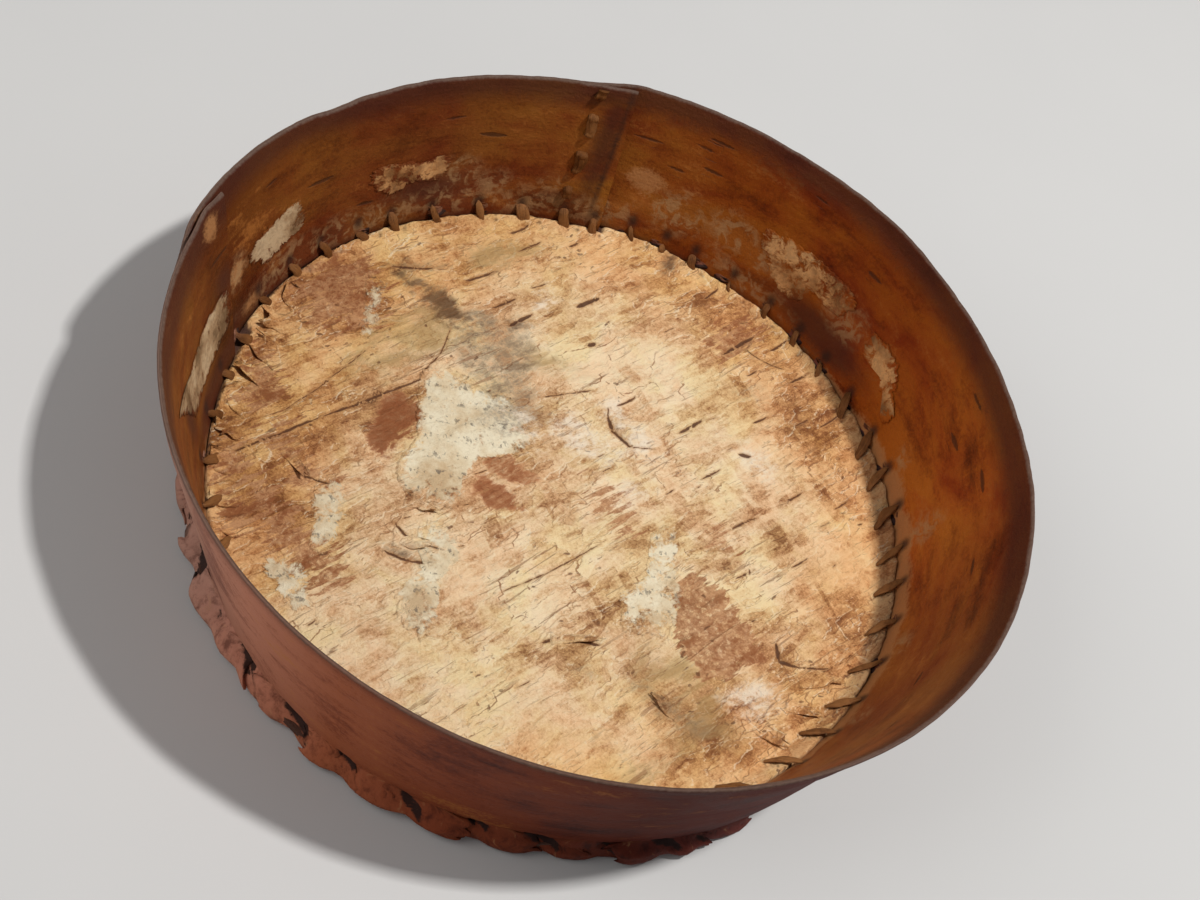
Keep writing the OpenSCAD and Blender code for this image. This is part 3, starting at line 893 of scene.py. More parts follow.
# Outlines of brown places, brushed out along the grain
BRUSH_SHAPES = (
    (
        (-61, -26), (-52, -29), (-42, -34), (-33, -37), (-28, -41), (-30, -46), (-38, -44),
        (-50, -39), (-58, -33),
    ),
    (
        (-67, 27), (-58, 30), (-52, 25), (-50, 14), (-58, 8), (-67, 12),
    ),
    (
        (-66, -4), (-60, -6), (-56, -14), (-62, -18), (-66, -10),
    ),
    (
        (4, 7), (9, 8), (15, 3), (17, -3), (9, -1.5),
    ),
    (
        (13, 62), (20, 66), (24, 58), (19, 51), (14, 54),
    ),
    (
        (-54, -16), (-47, -21), (-40, -24), (-45, -28), (-55, -24),
    ),
    (
        (31, 9), (34, 10), (36, 6), (33, 4.5),
    ),
    (
        (-60, -34), (-54, -33), (-46, -40), (-50, -44), (-57, -40),
    ),
)
# Outline of a brown place with a closer edge
FADED_SHAPES = (
    (
        (30, -3), (36, -4), (42, -7.5), (50, -13.5), (49.5, -17), (46, -18.5), (47, -24), (40, -25),
        (32, -20), (29, -12),
    ),
)
# Oval patches by colour: x, y, half length, half width, direction
TAN_PATCHES = (
    (-62, -8, 26, 7, 88), (-58, 20, 11, 9, -60), (62, -16, 11, 7, 95), (46, -33, 14, 8, 42),
    (41, 47, 18, 8, -45), (45, 14, 7, 5, 0), (14, 62, 16, 5, -10), (-38, 0, 10, 6, 65),
    (18, -21, 9, 5, 56), (-46, -34, 14, 6, -25), (-61, 13, 9, 9, -60), (33, 7, 4, 3, 57),
    (18, -2, 5, 4, 20), (50, -14, 8, 5, 0), (-14, 2, 8, 5, 10), (-53, -12, 14, 3.5, 58),
    (64, 1, 9, 5, 92), (36, -33, 10, 5, -20), (-47, -16, 8, 5, 58),
)
PALE_PATCHES = (
    (4, 37, 16, 10, 20), (30, 30, 14, 9, -20), (-3, -29, 14, 8, 0), (60, 15, 7, 9, 90),
    (14, 4, 8, 7, 0), (40, 15, 17, 9, 20), (10, -50, 26, 7, 4), (-17, -52, 15, 8, 0),
    (-14, 31, 8, 7, 0), (-58, -2, 5, 5, 60), (-30, -54, 10, 5, -20), (34, -46, 9, 6, 40),
    (-16, -60, 13, 9, 0), (16, -45, 11, 6, 0), (-15, -46, 9, 7, 0),
)
WHITE_PATCHES = (
    (-1, 13.5, 6, 3.2, -8), (7, 21.5, 5, 2.2, -20), (33, 30, 5, 3, -20), (-22, 44, 3, 2.2, 60),
    (-12, 9, 4, 3, -30), (13, 7, 3, 2, 50), (50, -24, 3, 2, 50),
)
GREY_PATCHES = (
    (-25, 23, 8, 8, -20), (-32, 28, 4, 4, -12), (-15, 11, 6, 3, 30), (-19, 17, 5, 4, 20),
    (36, -34, 4.6, 1.3, -5), (19, -35, 2, 1.2, 20), (26, 46, 2, 1, 30),
)
OLIVE_PATCHES = (
    (38, -30, 11, 5.5, -22), (-17, 27, 6, 2.5, 10), (-43, 14, 14, 5, 70), (38, -46, 8, 2, 60),
    (-36, 48, 8, 3, 50),
)
DUSK_PATCHES = (
    (-43, 29.8, 6, 1.8, -14), (-51, 34, 5, 0.9, 32), (-50, 30.5, 4, 1.0, -20),
    (-24.5, 33.5, 2.6, 1.4, 50), (-38, 28, 3, 2, -10), (-2, 70, 1.4, 2.4, 0),
    (-20, -30.5, 3.2, 0.8, 10),
)
# Dark slits of the bark: middle, half length, half width, direction
SLITS = (
    (-37.0, 40.5, 4.0, 0.45, 58), (-29.5, 37.0, 3.4, 0.5, 58), (-25.0, 46.0, 2.0, 0.35, 56),
    (-13.8, 48.2, 3.4, 0.9, 58), (-8.6, 37.8, 1.3, 0.8, 56), (3.5, 28.0, 2.6, 0.35, 62),
    (18.1, 30.7, 4.0, 0.6, 62), (19.8, 57.5, 5.5, 0.7, 64), (9.5, 68.0, 2.6, 0.4, 70),
    (28.0, 63.0, 2.6, 0.5, 60), (-35.0, 58.0, 3.0, 0.4, 62), (-31.0, 55.0, 3.4, 0.35, 62),
    (31.0, 41.0, 2.4, 0.4, 58), (39.5, 46.0, 2.0, 0.3, 60), (45.0, 50.0, 3.0, 0.35, 62),
    (36.0, 13.0, 3.6, 0.45, 58), (40.5, 2.0, 2.8, 0.35, 58), (44.0, 26.0, 2.6, 0.35, 62),
    (26.0, 21.0, 3.0, 0.3, 60), (-24.5, 35.0, 3.6, 0.75, 62), (-50.0, 34.0, 4.6, 0.45, 34),
    (-23.0, 62.0, 1.6, 0.4, 60), (35.0, 57.0, 2.6, 0.4, 60), (-26.0, 66.0, 1.8, 0.45, 50),
    (31.0, 30.0, 1.4, 0.7, 20), (25.0, 52.0, 1.6, 0.3, 60), (54.0, 30.0, 2.2, 0.35, 62),
    (50.0, 11.0, 2.4, 0.3, 60),
)
# Cracks of the base: the points that each runs through, and its half width
CRACKS = (
    (((-59.5, -30.0), (-48.6, -11.6), (-35.3, 9.0)), 0.40),
    (((-36.5, 9.0), (-35.0, 16.0), (-36.0, 24.0)), 0.16),
    (((-55.0, -14.0), (-51.0, -2.0), (-48.0, 9.0)), 0.14),
    (((-1.0, -28.0), (5.0, -19.5), (11.5, -8.0)), 0.18),
    (((0.8, 24.0), (1.5, 22.0)), 0.22),
    (((1.5, 22.0), (3.7, 18.9), (8.9, 17.6)), 0.50),
    (((8.9, 17.6), (13.3, 20.0)), 0.20),
    (((51.5, -10.0), (53.0, -13.2), (57.0, -12.2)), 0.55),
    (((57.0, -12.2), (63.0, -9.0)), 0.34),
    (((10.0, -34.0), (13.0, -31.0), (20.0, -28.5)), 0.42),
    (((-25.5, -25.5), (-21.0, -27.2), (-15.0, -26.0)), 0.36),
    (((-24.0, -32.0), (-19.0, -31.6), (-15.5, -29.6)), 0.42),
    (((22.0, 57.4), (26.5, 56.8), (31.0, 57.6)), 0.2),
    (((-49.0, -23.5), (-45.0, -25.6), (-40.0, -24.6)), 0.3),
    (((-12.0, 19.0), (-8.0, 23.0), (-4.0, 26.5)), 0.25),
)


def patch_field(x, y, patches, power=2.0):
    """About how many millimetres inside its nearest oval patch a point lies; below 0 outside."""
    field = np.full(x.shape, NO_MARK)
    for px, py, half_length, half_width, direction in patches:
        along, across = along_grain(x - px, y - py, direction)
        powers = np.abs(along / half_length) ** power + np.abs(across / half_width) ** power
        reach = powers ** (1.0 / power)
        field = np.maximum(field, (1.0 - reach) * min(half_length, half_width))
    return field


def shape_field(x, y, shapes):
    """How many millimetres inside the nearest outline a point lies, by its sides and the even-odd rule."""
    field = np.full(x.shape, NO_MARK)
    for shape in shapes:
        nearest = np.full(x.shape, 1e9)
        within = np.zeros(x.shape, bool)
        for (ax, ay), (bx, by) in zip(shape, shape[1:] + shape[:1]):
            share = clamp(((x - ax) * (bx - ax) + (y - ay) * (by - ay)) / ((bx - ax) ** 2 + (by - ay) ** 2))
            nearest = np.minimum(nearest, np.hypot(x - mix(ax, bx, share), y - mix(ay, by, share)))
            climb = by - ay if by != ay else 1e-9
            crosses = ((ay > y) != (by > y)) & (x < ax + (y - ay) * (bx - ax) / climb)
            within = within ^ crosses
        field = np.maximum(field, np.where(within, nearest, -nearest))
    return field


def slit_segments():
    """All slits and cracks as straight runs: middle, half length, half width and direction."""
    narrowed = 0.62
    short_slits = 44
    reach = 68.0
    runs = [[px, py, length, narrowed * width, direction] for px, py, length, width, direction in SLITS]
    chance = np.random.default_rng(11)
    for _ in range(short_slits):
        radius = reach * np.sqrt(chance.random())
        angle = 360.0 * chance.random()
        runs.append([
            radius * cosd(angle), radius * sind(angle), 0.5 + 1.3 * chance.random(),
            0.02 + 0.11 * chance.random(), GRAIN + 8.0 * chance.standard_normal(),
        ])
    for points, half_width in CRACKS:
        for (ax, ay), (bx, by) in zip(points[:-1], points[1:]):
            runs.append([
                (ax + bx) / 2, (ay + by) / 2, np.hypot(bx - ax, by - ay) / 2 + half_width,
                0.7 * half_width, np.degrees(np.arctan2(by - ay, bx - ax)),
            ])
    barbs = []
    for px, py, half_length, half_width, direction in runs:
        for _ in range(int(half_length / 2.6)):
            at = half_length * (2.0 * chance.random() - 1.0)
            turned = direction + (35.0 + 30.0 * chance.random()) * (1 if chance.random() < 0.5 else -1)
            length = 0.2 + 0.5 * chance.random()
            barbs.append([px + at * cosd(direction), py + at * sind(direction), length, 0.08, turned])
    return runs + barbs


def slit_fields(x, y, runs):
    """Signed distance across the nearest run, and that run's half width here, which narrows to its ends."""
    distance = np.full(x.shape, NO_SLIT_NEAR)
    width = np.full(x.shape, NO_SLIT)
    nearest = np.full(x.shape, NO_SLIT_NEAR)
    for px, py, half_length, half_width, direction in runs:
        along, across = along_grain(x - px, y - py, direction)
        beyond = np.maximum(0.0, np.abs(along) - half_length)
        away = np.hypot(across, beyond)
        closer = away < nearest
        nearest = np.where(closer, away, nearest)
        distance = np.where(closer, across, distance)
        taper = half_width * (1.0 - (along / half_length) ** 4) - 0.35 * ease(beyond / 0.6)
        own_width = np.where(nearest < 1.6, np.maximum(NO_SLIT, taper), NO_SLIT)
        width = np.where(closer, own_width, width)
    return distance, width


def chip_patches():
    """Thin plates left on the base, squared to the grain, most of them right of the middle."""
    chance = np.random.default_rng(23)
    chips = []
    for n in range(150):
        if n % 2:
            place = np.array([30.0, 13.0]) + 10.0 * chance.standard_normal(2)
        else:
            place = 34.0 * chance.standard_normal(2)
        across_grain = 90.0 * (chance.random() < 0.3)
        chips.append((
            place[0], place[1], 1.2 + 3.4 * chance.random() ** 2, 0.5 + 1.3 * chance.random(),
            GRAIN + across_grain + 7.0 * chance.standard_normal(),
        ))
    return chips


BASE_RUNS = slit_segments()
BASE_CHIPS = chip_patches()


def base_marks(x, y):
    """Fields of the base's upper face at points x, y: how far inside each mark, warped by noise."""
    warp_x = x + 1.3 * fractal(x / 6.0, y / 6.0, 4, 31) + 0.4 * noise(x / 1.3, y / 1.3, 35)
    warp_y = y + 1.3 * fractal(x / 6.0, y / 6.0, 4, 41) + 0.4 * noise(x / 1.3, y / 1.3, 45)
    shaken_x = x + 0.08 * noise(x / 0.9, y / 0.9, 51) + 0.2 * noise(x / 6.0, y / 6.0, 53)
    shaken_y = y + 0.08 * noise(x / 0.9, y / 0.9, 55) + 0.2 * noise(x / 6.0, y / 6.0, 57)
    distance, width = slit_fields(shaken_x, shaken_y, BASE_RUNS)
    front = bump(turn_apart(np.degrees(np.arctan2(y, x)), 250.0), 24.0)
    faded = 3.0 * shape_field(warp_x, warp_y, FADED_SHAPES)
    outer_warm = ease((np.hypot(x, y) - 38.0) / 30.0) * (1.0 - 0.85 * front)
    left_warm = 0.7 * ease((-26.0 - x) / 28.0)
    return {
        "rust": shape_field(warp_x, warp_y, RUST_SHAPES),
        "brush": np.maximum(shape_field(warp_x, warp_y, BRUSH_SHAPES), faded),
        "tan": patch_field(warp_x, warp_y, TAN_PATCHES),
        "white": patch_field(warp_x, warp_y, WHITE_PATCHES, 3.0),
        "grey": patch_field(warp_x, warp_y, GREY_PATCHES),
        "olive": patch_field(warp_x, warp_y, OLIVE_PATCHES),
        "dusk": patch_field(warp_x, warp_y, DUSK_PATCHES),
        "pale": patch_field(warp_x, warp_y, PALE_PATCHES),
        "chip": patch_field(x, y, BASE_CHIPS, 6.0),
        "warm": clamp(outer_warm + left_warm + 0.3 * fractal(x / 9.0, y / 9.0, 3, 59)),
        "deep": bump(np.hypot(x + 36.0, y + 6.0), 12.0),
        "slit_v": distance,
        "slit_w": width,
    }


def base_relief(x, y, marks):
    """Height of the base's upper face: slow waves, grain, plates, sunk rust, slits and a lifted flap."""
    slow = 0.35 * fractal(x / 28.0, y / 28.0, 2, 61)
    along, across = along_grain(x, y, GRAIN)
    streak = 0.10 * fractal(along / 9.0, across / 1.4, 3, 71) + 0.08 * fractal(x / 2.0, y / 2.0, 2, 75)
    sunk = -0.16 * ease(marks["rust"] + 0.5)
    raised = 0.10 * ease((marks["chip"] + 0.2) / 0.4)
    open_slit = np.maximum(0.0, marks["slit_w"])
    slits = -0.40 * ease(open_slit / 0.3) * bump(marks["slit_v"], 0.3 + open_slit)
    flap = 0.9 * bump(np.hypot((x - 6.5) / 6.0, (y - 20.6) / 1.8), 0.8)
    return slow + streak + sunk + raised + slits + flap


def stitch_share(angle):
    """Where an angle lies between the wall holes on either side: 0 at a hole and 1 halfway to the next."""
    number = np.arange(-2, STITCHES + 3)
    place = np.interp(angle, wall_angle(number), number)
    return 1.0 - np.abs(2.0 * (place - np.floor(place)) - 1.0)


def margin_lift(angle, inside):
    """Edge of the base's top layer that curls up at the wall: torn scallops between stitches."""
    around = angle % 360.0
    scallop = 0.5 + 1.5 * np.sqrt(clamp(stitch_share(around)))
    high = mix(scallop, 1.3, at_back(around))
    torn = 1.0 + 0.22 * noise(around / 1.7, around * 0.0, 81) + 0.16 * noise(around / 0.5, around * 0.0, 85)
    curl = ease((3.4 - inside) / 3.2) ** 1.3 * ease((inside + 0.4 - 0.5 * at_back(around)) / 0.35)
    return high * torn * curl


def make_base(material):
    """Base sheet: rings whose top carries the relief, with a rounded cut edge and a wavy underside."""
    turns = 600
    top_rings = 142
    angle = np.arange(turns) * 360.0 / turns
    edge = base_edge(angle) + 0.25 * fractal(angle / 3.0, angle * 0.0, 3, 91)
    foot = wall_in(angle, 0.0)
    share = np.linspace(0.004, 1.0, top_rings)[:, None]
    radius = share * (edge - 0.3)
    x = radius * cosd(angle)
    y = radius * sind(angle)
    marks = base_marks(x, y)
    inside = foot - radius
    open_face = ease(inside / 2.5)
    height = BASE_Z1 + base_relief(x, y, marks) * open_face + margin_lift(angle, inside)
    height = np.where(inside < -0.3, BASE_Z1, height)
    under_share = np.array([1.0, 0.995, 0.9, 0.7, 0.45, 0.2, 0.004])[:, None]
    under_r = under_share * edge
    under_x = under_r * cosd(angle)
    under_y = under_r * sind(angle)
    wavy = 0.08 * fractal(under_x / 12.0, under_y / 12.0, 3, 95)
    under_z = BASE_Z0 + wavy * (1 - under_share ** 8) + 0 * angle
    under_z[0] = mix(BASE_Z0, BASE_Z1, 0.5)
    rings = np.concatenate([
        np.stack([x, y, height], axis=-1),
        np.stack([under_x, under_y, under_z], axis=-1),
    ])
    rows = len(rings)
    faces = [grid_faces(rows, turns, close_cols=True)]
    faces.append(np.arange(turns)[None, ::-1])
    faces.append(((rows - 1) * turns + np.arange(turns))[None, :])
    plain = np.full((len(under_share), turns), -1.5)
    fields = {name: np.concatenate([value, plain]) for name, value in marks.items()}
    fields["slit_v"][-len(under_share):] = NO_SLIT_NEAR
    # Painted shade at the holes and in the crease along the wall's foot, darker at the back, and a little
    # under the sheet
    stitch = stitch_shadow(angle, inside)
    margin = clamp(mix(0.3, 0.8, at_back(angle)) * ease((0.7 - inside) / 0.6) + stitch)
    fields["margin"] = np.concatenate([margin, np.full((len(under_share), turns), 0.35)])
    # Dark on the cut edge and under the wall; painted shade on the right margin near the wall
    right = bump(turn_apart(angle, 14.0), 42.0)
    cut_edge_and_shade = np.maximum(ease((0.2 - inside) / 0.6), 0.42 * right * ease((3.6 - inside) / 1.4))
    fields["edge"] = np.concatenate([cut_edge_and_shade, np.where(under_share > 0.9, 1.0, 0.3) + 0 * plain])
    return make_piece("base_sheet_bark", rings, faces, fields, material, ["base_sheet"])


def stitch_shadow(angle, inside):
    """Painted shade round each base hole, drawn out on both sides of the root."""
    shade = np.zeros(inside.shape)
    for i in range(STITCHES):
        hole = base_angle(i)
        away = np.radians(turn_apart(angle, hole)) * FOOT_R
        deep = inside - hole_in(hole)
        beside = np.abs(away + 0.9 * deep) - 0.9
        shade = np.maximum(shade, 0.8 * bump(np.hypot(away / 0.9, deep / 0.6), 1.0))
        shade = np.maximum(shade, 0.75 * bump(np.hypot(beside / 0.45, (deep + 2.0) / 2.4), 1.0))
    return shade


# Lifted flakes of the base's top layer: x, y, length, width, direction in which they rise, rise
FLAKES = (
    (-66.5, 12.0, 6.0, 5.0, 150, 1.4), (-66.5, 4.0, 6.0, 5.6, 190, 1.7),
    (-64.5, -3.0, 7.5, 6.0, 170, 1.5), (-64.5, -10.0, 6.5, 5.4, 200, 1.8),
    (-63.0, -17.0, 7.5, 5.6, 165, 1.5), (-61.5, -24.0, 6.5, 5.2, 215, 1.7),
    (-59.0, -31.0, 7.5, 5.6, 190, 1.5), (-55.5, -38.0, 7.0, 5.2, 225, 1.7),
    (-51.5, -43.5, 7.0, 4.6, 215, 1.3), (-69.0, 20.0, 4.0, 2.6, 140, 1.2),
    (-66.0, 28.0, 4.0, 2.4, 170, 1.0), (-47.0, -24.2, 6.5, 2.6, -30, 1.2),
    (-21.0, -28.0, 6.5, 2.6, 20, 1.3), (-23.0, -19.5, 6.0, 2.2, 10, 0.9),
    (14.5, -30.5, 8.0, 2.4, 28, 1.3), (61.0, -13.0, 8.0, 4.0, 35, 1.4),
    (63.5, -6.0, 5.0, 3.0, 60, 1.2), (60.0, -21.0, 6.0, 3.0, 10, 1.3),
    (66.0, 0.0, 4.0, 2.6, 50, 1.2), (56.0, -29.0, 6.0, 3.4, -10, 1.2),
    (21.0, 56.8, 5.5, 2.0, 64, 0.8), (-33.5, 14.0, 5.0, 2.6, 60, 0.9),
    (37.0, -34.5, 7.0, 2.6, 160, 0.9),
)


def make_flakes(material):
    """Flakes: small plates that curl up as the square of the way from one end to the other."""
    rows = 9
    cols = 12
    table = np.array(FLAKES)[:, :, None, None]
    px, py, length, width, direction, rise = (table[:, n] for n in range(6))
    number = np.arange(len(FLAKES))[:, None, None] * 17.0
    u = np.linspace(0.0, 1.0, cols)[None, None, :]
    v = np.linspace(-0.5, 0.5, rows)[None, :, None]
    ragged_u = u * (1.0 + 0.28 * noise(v * 5.0 + number, number + 0 * v, 201))
    ragged_v = v * (1.0 - 0.35 * u ** 2 + 0.30 * noise(u * 4.0 + number, number + 0 * u, 205))
    along = (ragged_u - 0.5) * length
    across = ragged_v * width
    x = px + along * cosd(direction) - across * sind(direction)
    y = py + along * sind(direction) + across * cosd(direction)
    marks = base_marks(x, y)
    around = np.degrees(np.arctan2(y, x))
    radius = np.minimum(np.hypot(x, y), wall_in(around, 0.0) - 0.6)
    x = radius * cosd(around)
    y = radius * sind(around)
    ground = BASE_Z1 + base_relief(x, y, marks) - 0.12
    high = ground + rise * u ** 2 * (1.0 + 0.5 * noise(v * 4.0 + number, u * 2.0 + number, 209)) + 0.16
    low = high - mix(0.30, 0.20, u)
    top = np.stack([x, y, high], axis=-1)
    under = np.stack([x, y, low], axis=-1)
    size = rows * cols
    sheets = grid_faces(rows, cols)
    i = np.arange(cols)
    j = np.arange(rows)
    far_side = (rows - 1) * cols + i[::-1][1:]
    rim = np.concatenate([i, j[1:] * cols + cols - 1, far_side, j[::-1][1:-1] * cols])
    following = np.roll(rim, -1)
    side = np.stack([rim, rim + size, following + size, following], axis=-1)
    one_flake = np.concatenate([sheets, sheets[:, ::-1] + size, side])
    count = len(FLAKES)
    faces = (one_flake[None, :, :] + (np.arange(count) * 2 * size)[:, None, None]).reshape(-1, 4)
    points = np.stack([top.reshape(count, size, 3), under.reshape(count, size, 3)], axis=1)
    fields = {name: np.repeat(value.reshape(count, 1, size), 2, axis=1) for name, value in marks.items()}
    fields["slit_w"] = np.full((count, 2, size), NO_SLIT)
    # Painted shade on the flakes' undersides
    shade = np.zeros((count, 2, size))
    shade[:, 1] = 0.5
    fields["margin"] = shade
    fields["edge"] = 0.0 * shade
    return make_piece("base_flakes_bark", points, [faces], fields, material)


# Wall strips

# Short dark marks of the bark inside the wall: angle, height, half length, half width
WALL_MARKS = (
    (160.0, 19.2, 3.6, 0.4), (186.0, 25.0, 3.6, 0.35), (129.0, 21.2, 3.4, 0.55),
    (61.0, 26.0, 2.2, 0.5), (31.0, 22.4, 2.4, 0.6), (22.0, 27.0, 2.8, 0.55),
    (92.5, 30.2, 3.0, 0.35), (94.5, 27.6, 2.4, 0.35), (92.0, 23.2, 2.6, 0.4),
    (103.5, 24.8, 3.2, 0.35), (97.5, 20.2, 2.2, 0.35), (151.0, 8.8, 2.4, 0.35),
    (136.0, 25.8, 2.4, 0.3), (34.0, 31.0, 2.4, 0.4), (75.0, 31.0, 1.8, 0.3),
    (170.0, 26.0, 1.6, 0.3), (8.0, 24.0, 2.2, 0.4), (-12.0, 20.0, 2.4, 0.4),
    (215.0, 29.0, 2.6, 0.35), (230.0, 18.0, 2.6, 0.35), (250.0, 26.0, 2.2, 0.35),
    (275.0, 21.0, 2.6, 0.35), (300.0, 28.0, 2.4, 0.35), (320.0, 17.0, 2.6, 0.4),
    (335.0, 27.0, 2.2, 0.35),
)
# Pale torn places inside the wall: angle, height, half arc in millimetres, half height
WALL_BARE = (
    (186.5, 32.3, 3.0, 2.6), (101.5, 15.2, 4.0, 2.8), (178.0, 3.5, 3.0, 1.2),
    (180.3, 13.8, 2.8, 2.4),
)
# Paper dust left on the wall, in the same terms
WALL_DUST = (
    (94.0, 10.0, 6.0, 5.0), (20.5, 10.5, 2.6, 3.6), (-1.0, 8.0, 2.4, 2.2), (127.0, 9.0, 4.0, 3.0),
    (117.0, 10.0, 2.6, 2.6), (155.0, 4.5, 26.0, 3.0), (180.5, 13.5, 3.5, 3.0),
    (-17.0, 8.0, 2.0, 2.2), (78.0, 11.0, 5.0, 3.0), (111.0, 5.0, 14.0, 3.0),
    (134.0, 12.0, 5.0, 4.0), (35.0, 8.0, 2.0, 2.0), (60.0, 14.0, 6.0, 4.0), (120.0, 5.0, 7.0, 3.0),
    (84.0, 13.0, 6.0, 4.0), (78.0, 4.5, 10.0, 3.0), (135.0, 5.0, 10.0, 2.8), (168.0, 5.5, 8.0, 3.0),
)
# Plum coloured patches inside the wall, in the same terms
WALL_PLUM = (
    (62.0, 7.0, 14.0, 4.0), (140.0, 9.0, 8.0, 3.0), (186.0, 19.0, 4.0, 3.0),
    (150.0, 34.0, 60.0, 2.6), (90.0, 34.5, 30.0, 2.4), (110.2, 24.0, 2.2, 22.0),
    (208.0, 13.0, 3.0, 5.0), (192.0, 4.0, 22.0, 3.0),
)
# Painted shade along the lap's edge inside the wall, in the same terms
WALL_LAP_SHADE = (
    (108.6, 20.0, 0.45, 30.0),
)
# Colour of the wall's inside round the basket, by angle, partly its own and partly painted light: brightest
# at the right, which faces away from the key lamp, dull at the plain lap on the left, which faces it
INSIDE_TINTS = (
    (0.0, (0.3, 0.072, 0.012)), (20.0, (0.44, 0.105, 0.013)), (50.0, (0.31, 0.06, 0.005)),
    (85.0, (0.27, 0.059, 0.005)), (110.0, (0.28, 0.086, 0.013)), (138.0, (0.17, 0.039, 0.008)),
    (165.0, (0.19, 0.049, 0.008)), (180.0, (0.11, 0.022, 0.003)), (197.0, (0.18, 0.05, 0.009)),
    (310.0, (0.31, 0.079, 0.016)), (342.0, (0.25, 0.064, 0.016)), (360.0, (0.3, 0.072, 0.012)),
)
# Colour of the wall's outside: mauve at the left, red brown and dark at the front
OUTSIDE_TINTS = (
    (0.0, (0.17, 0.045, 0.035)), (70.0, (0.18, 0.052, 0.032)), (165.0, (0.29, 0.12, 0.072)),
    (227.0, (0.5, 0.26, 0.19)), (243.0, (0.56, 0.225, 0.14)), (258.0, (0.4, 0.115, 0.049)),
    (274.0, (0.24, 0.053, 0.019)), (300.0, (0.088, 0.012, 0.004)), (320.0, (0.13, 0.028, 0.022)),
    (360.0, (0.17, 0.045, 0.035)),
)


# Slits along the foot outside, left open between the stitches, sunk and painted with shade

def foot_slits():
    """Slits of the foot: angle, height above the ground, half length, half height and slant."""
    chance = np.random.default_rng(71)
    slits = []
    for i in range(STITCHES):
        wide = chance.random()
        slits.append((
            wall_angle(i) + 4.0 * (chance.random() - 0.5), 3.4 + 1.2 * chance.random(),
            1.4 + 2.4 * wide ** 1.3, 0.34 + 0.50 * wide, 0.18 + 0.24 * chance.random(),
        ))
    return slits


FOOT_SLITS = foot_slits()


def foot_gap(angle, height):
    """About how many millimetres inside the nearest slit of the foot a point lies; below 0 outside."""
    field = np.full(angle.shape, NO_GAP)
    for slit_angle, slit_z, half_length, half_height, slant in FOOT_SLITS:
        along = np.radians(turn_apart(angle, slit_angle)) * FOOT_R
        rise = height - slit_z + slant * along
        reach = (np.abs(along / half_length) ** 2.5 + np.abs(rise / half_height) ** 2.5) ** 0.4
        field = np.maximum(field, (1.0 - reach) * half_height)
    return field


def foot_notch(angle):
    """How far the lacing's outside draws in at the slits, so that it stands out in lumps between them."""
    depth = np.zeros(angle.shape)
    for slit_angle, _, half_length, _, _ in FOOT_SLITS:
        along = np.radians(turn_apart(angle, slit_angle)) * FOOT_R
        depth = np.maximum(depth, (0.5 + 0.25 * half_length) * bump(along, 2.4))
    return depth


def wall_tint(around, inner):
    """Colour of the wall at an angle, read between the listed angles, inside or outside."""
    def read(tints):
        """Red, green and blue at each angle, straight between the listed ones."""
        angles = [angle for angle, _ in tints]
        return [np.interp(around, angles, [colour[n] for _, colour in tints]) for n in range(3)]

    pairs = zip(read(OUTSIDE_TINTS), read(INSIDE_TINTS))
    return np.stack([mix(outside, inside, inner) for outside, inside in pairs], axis=-1)


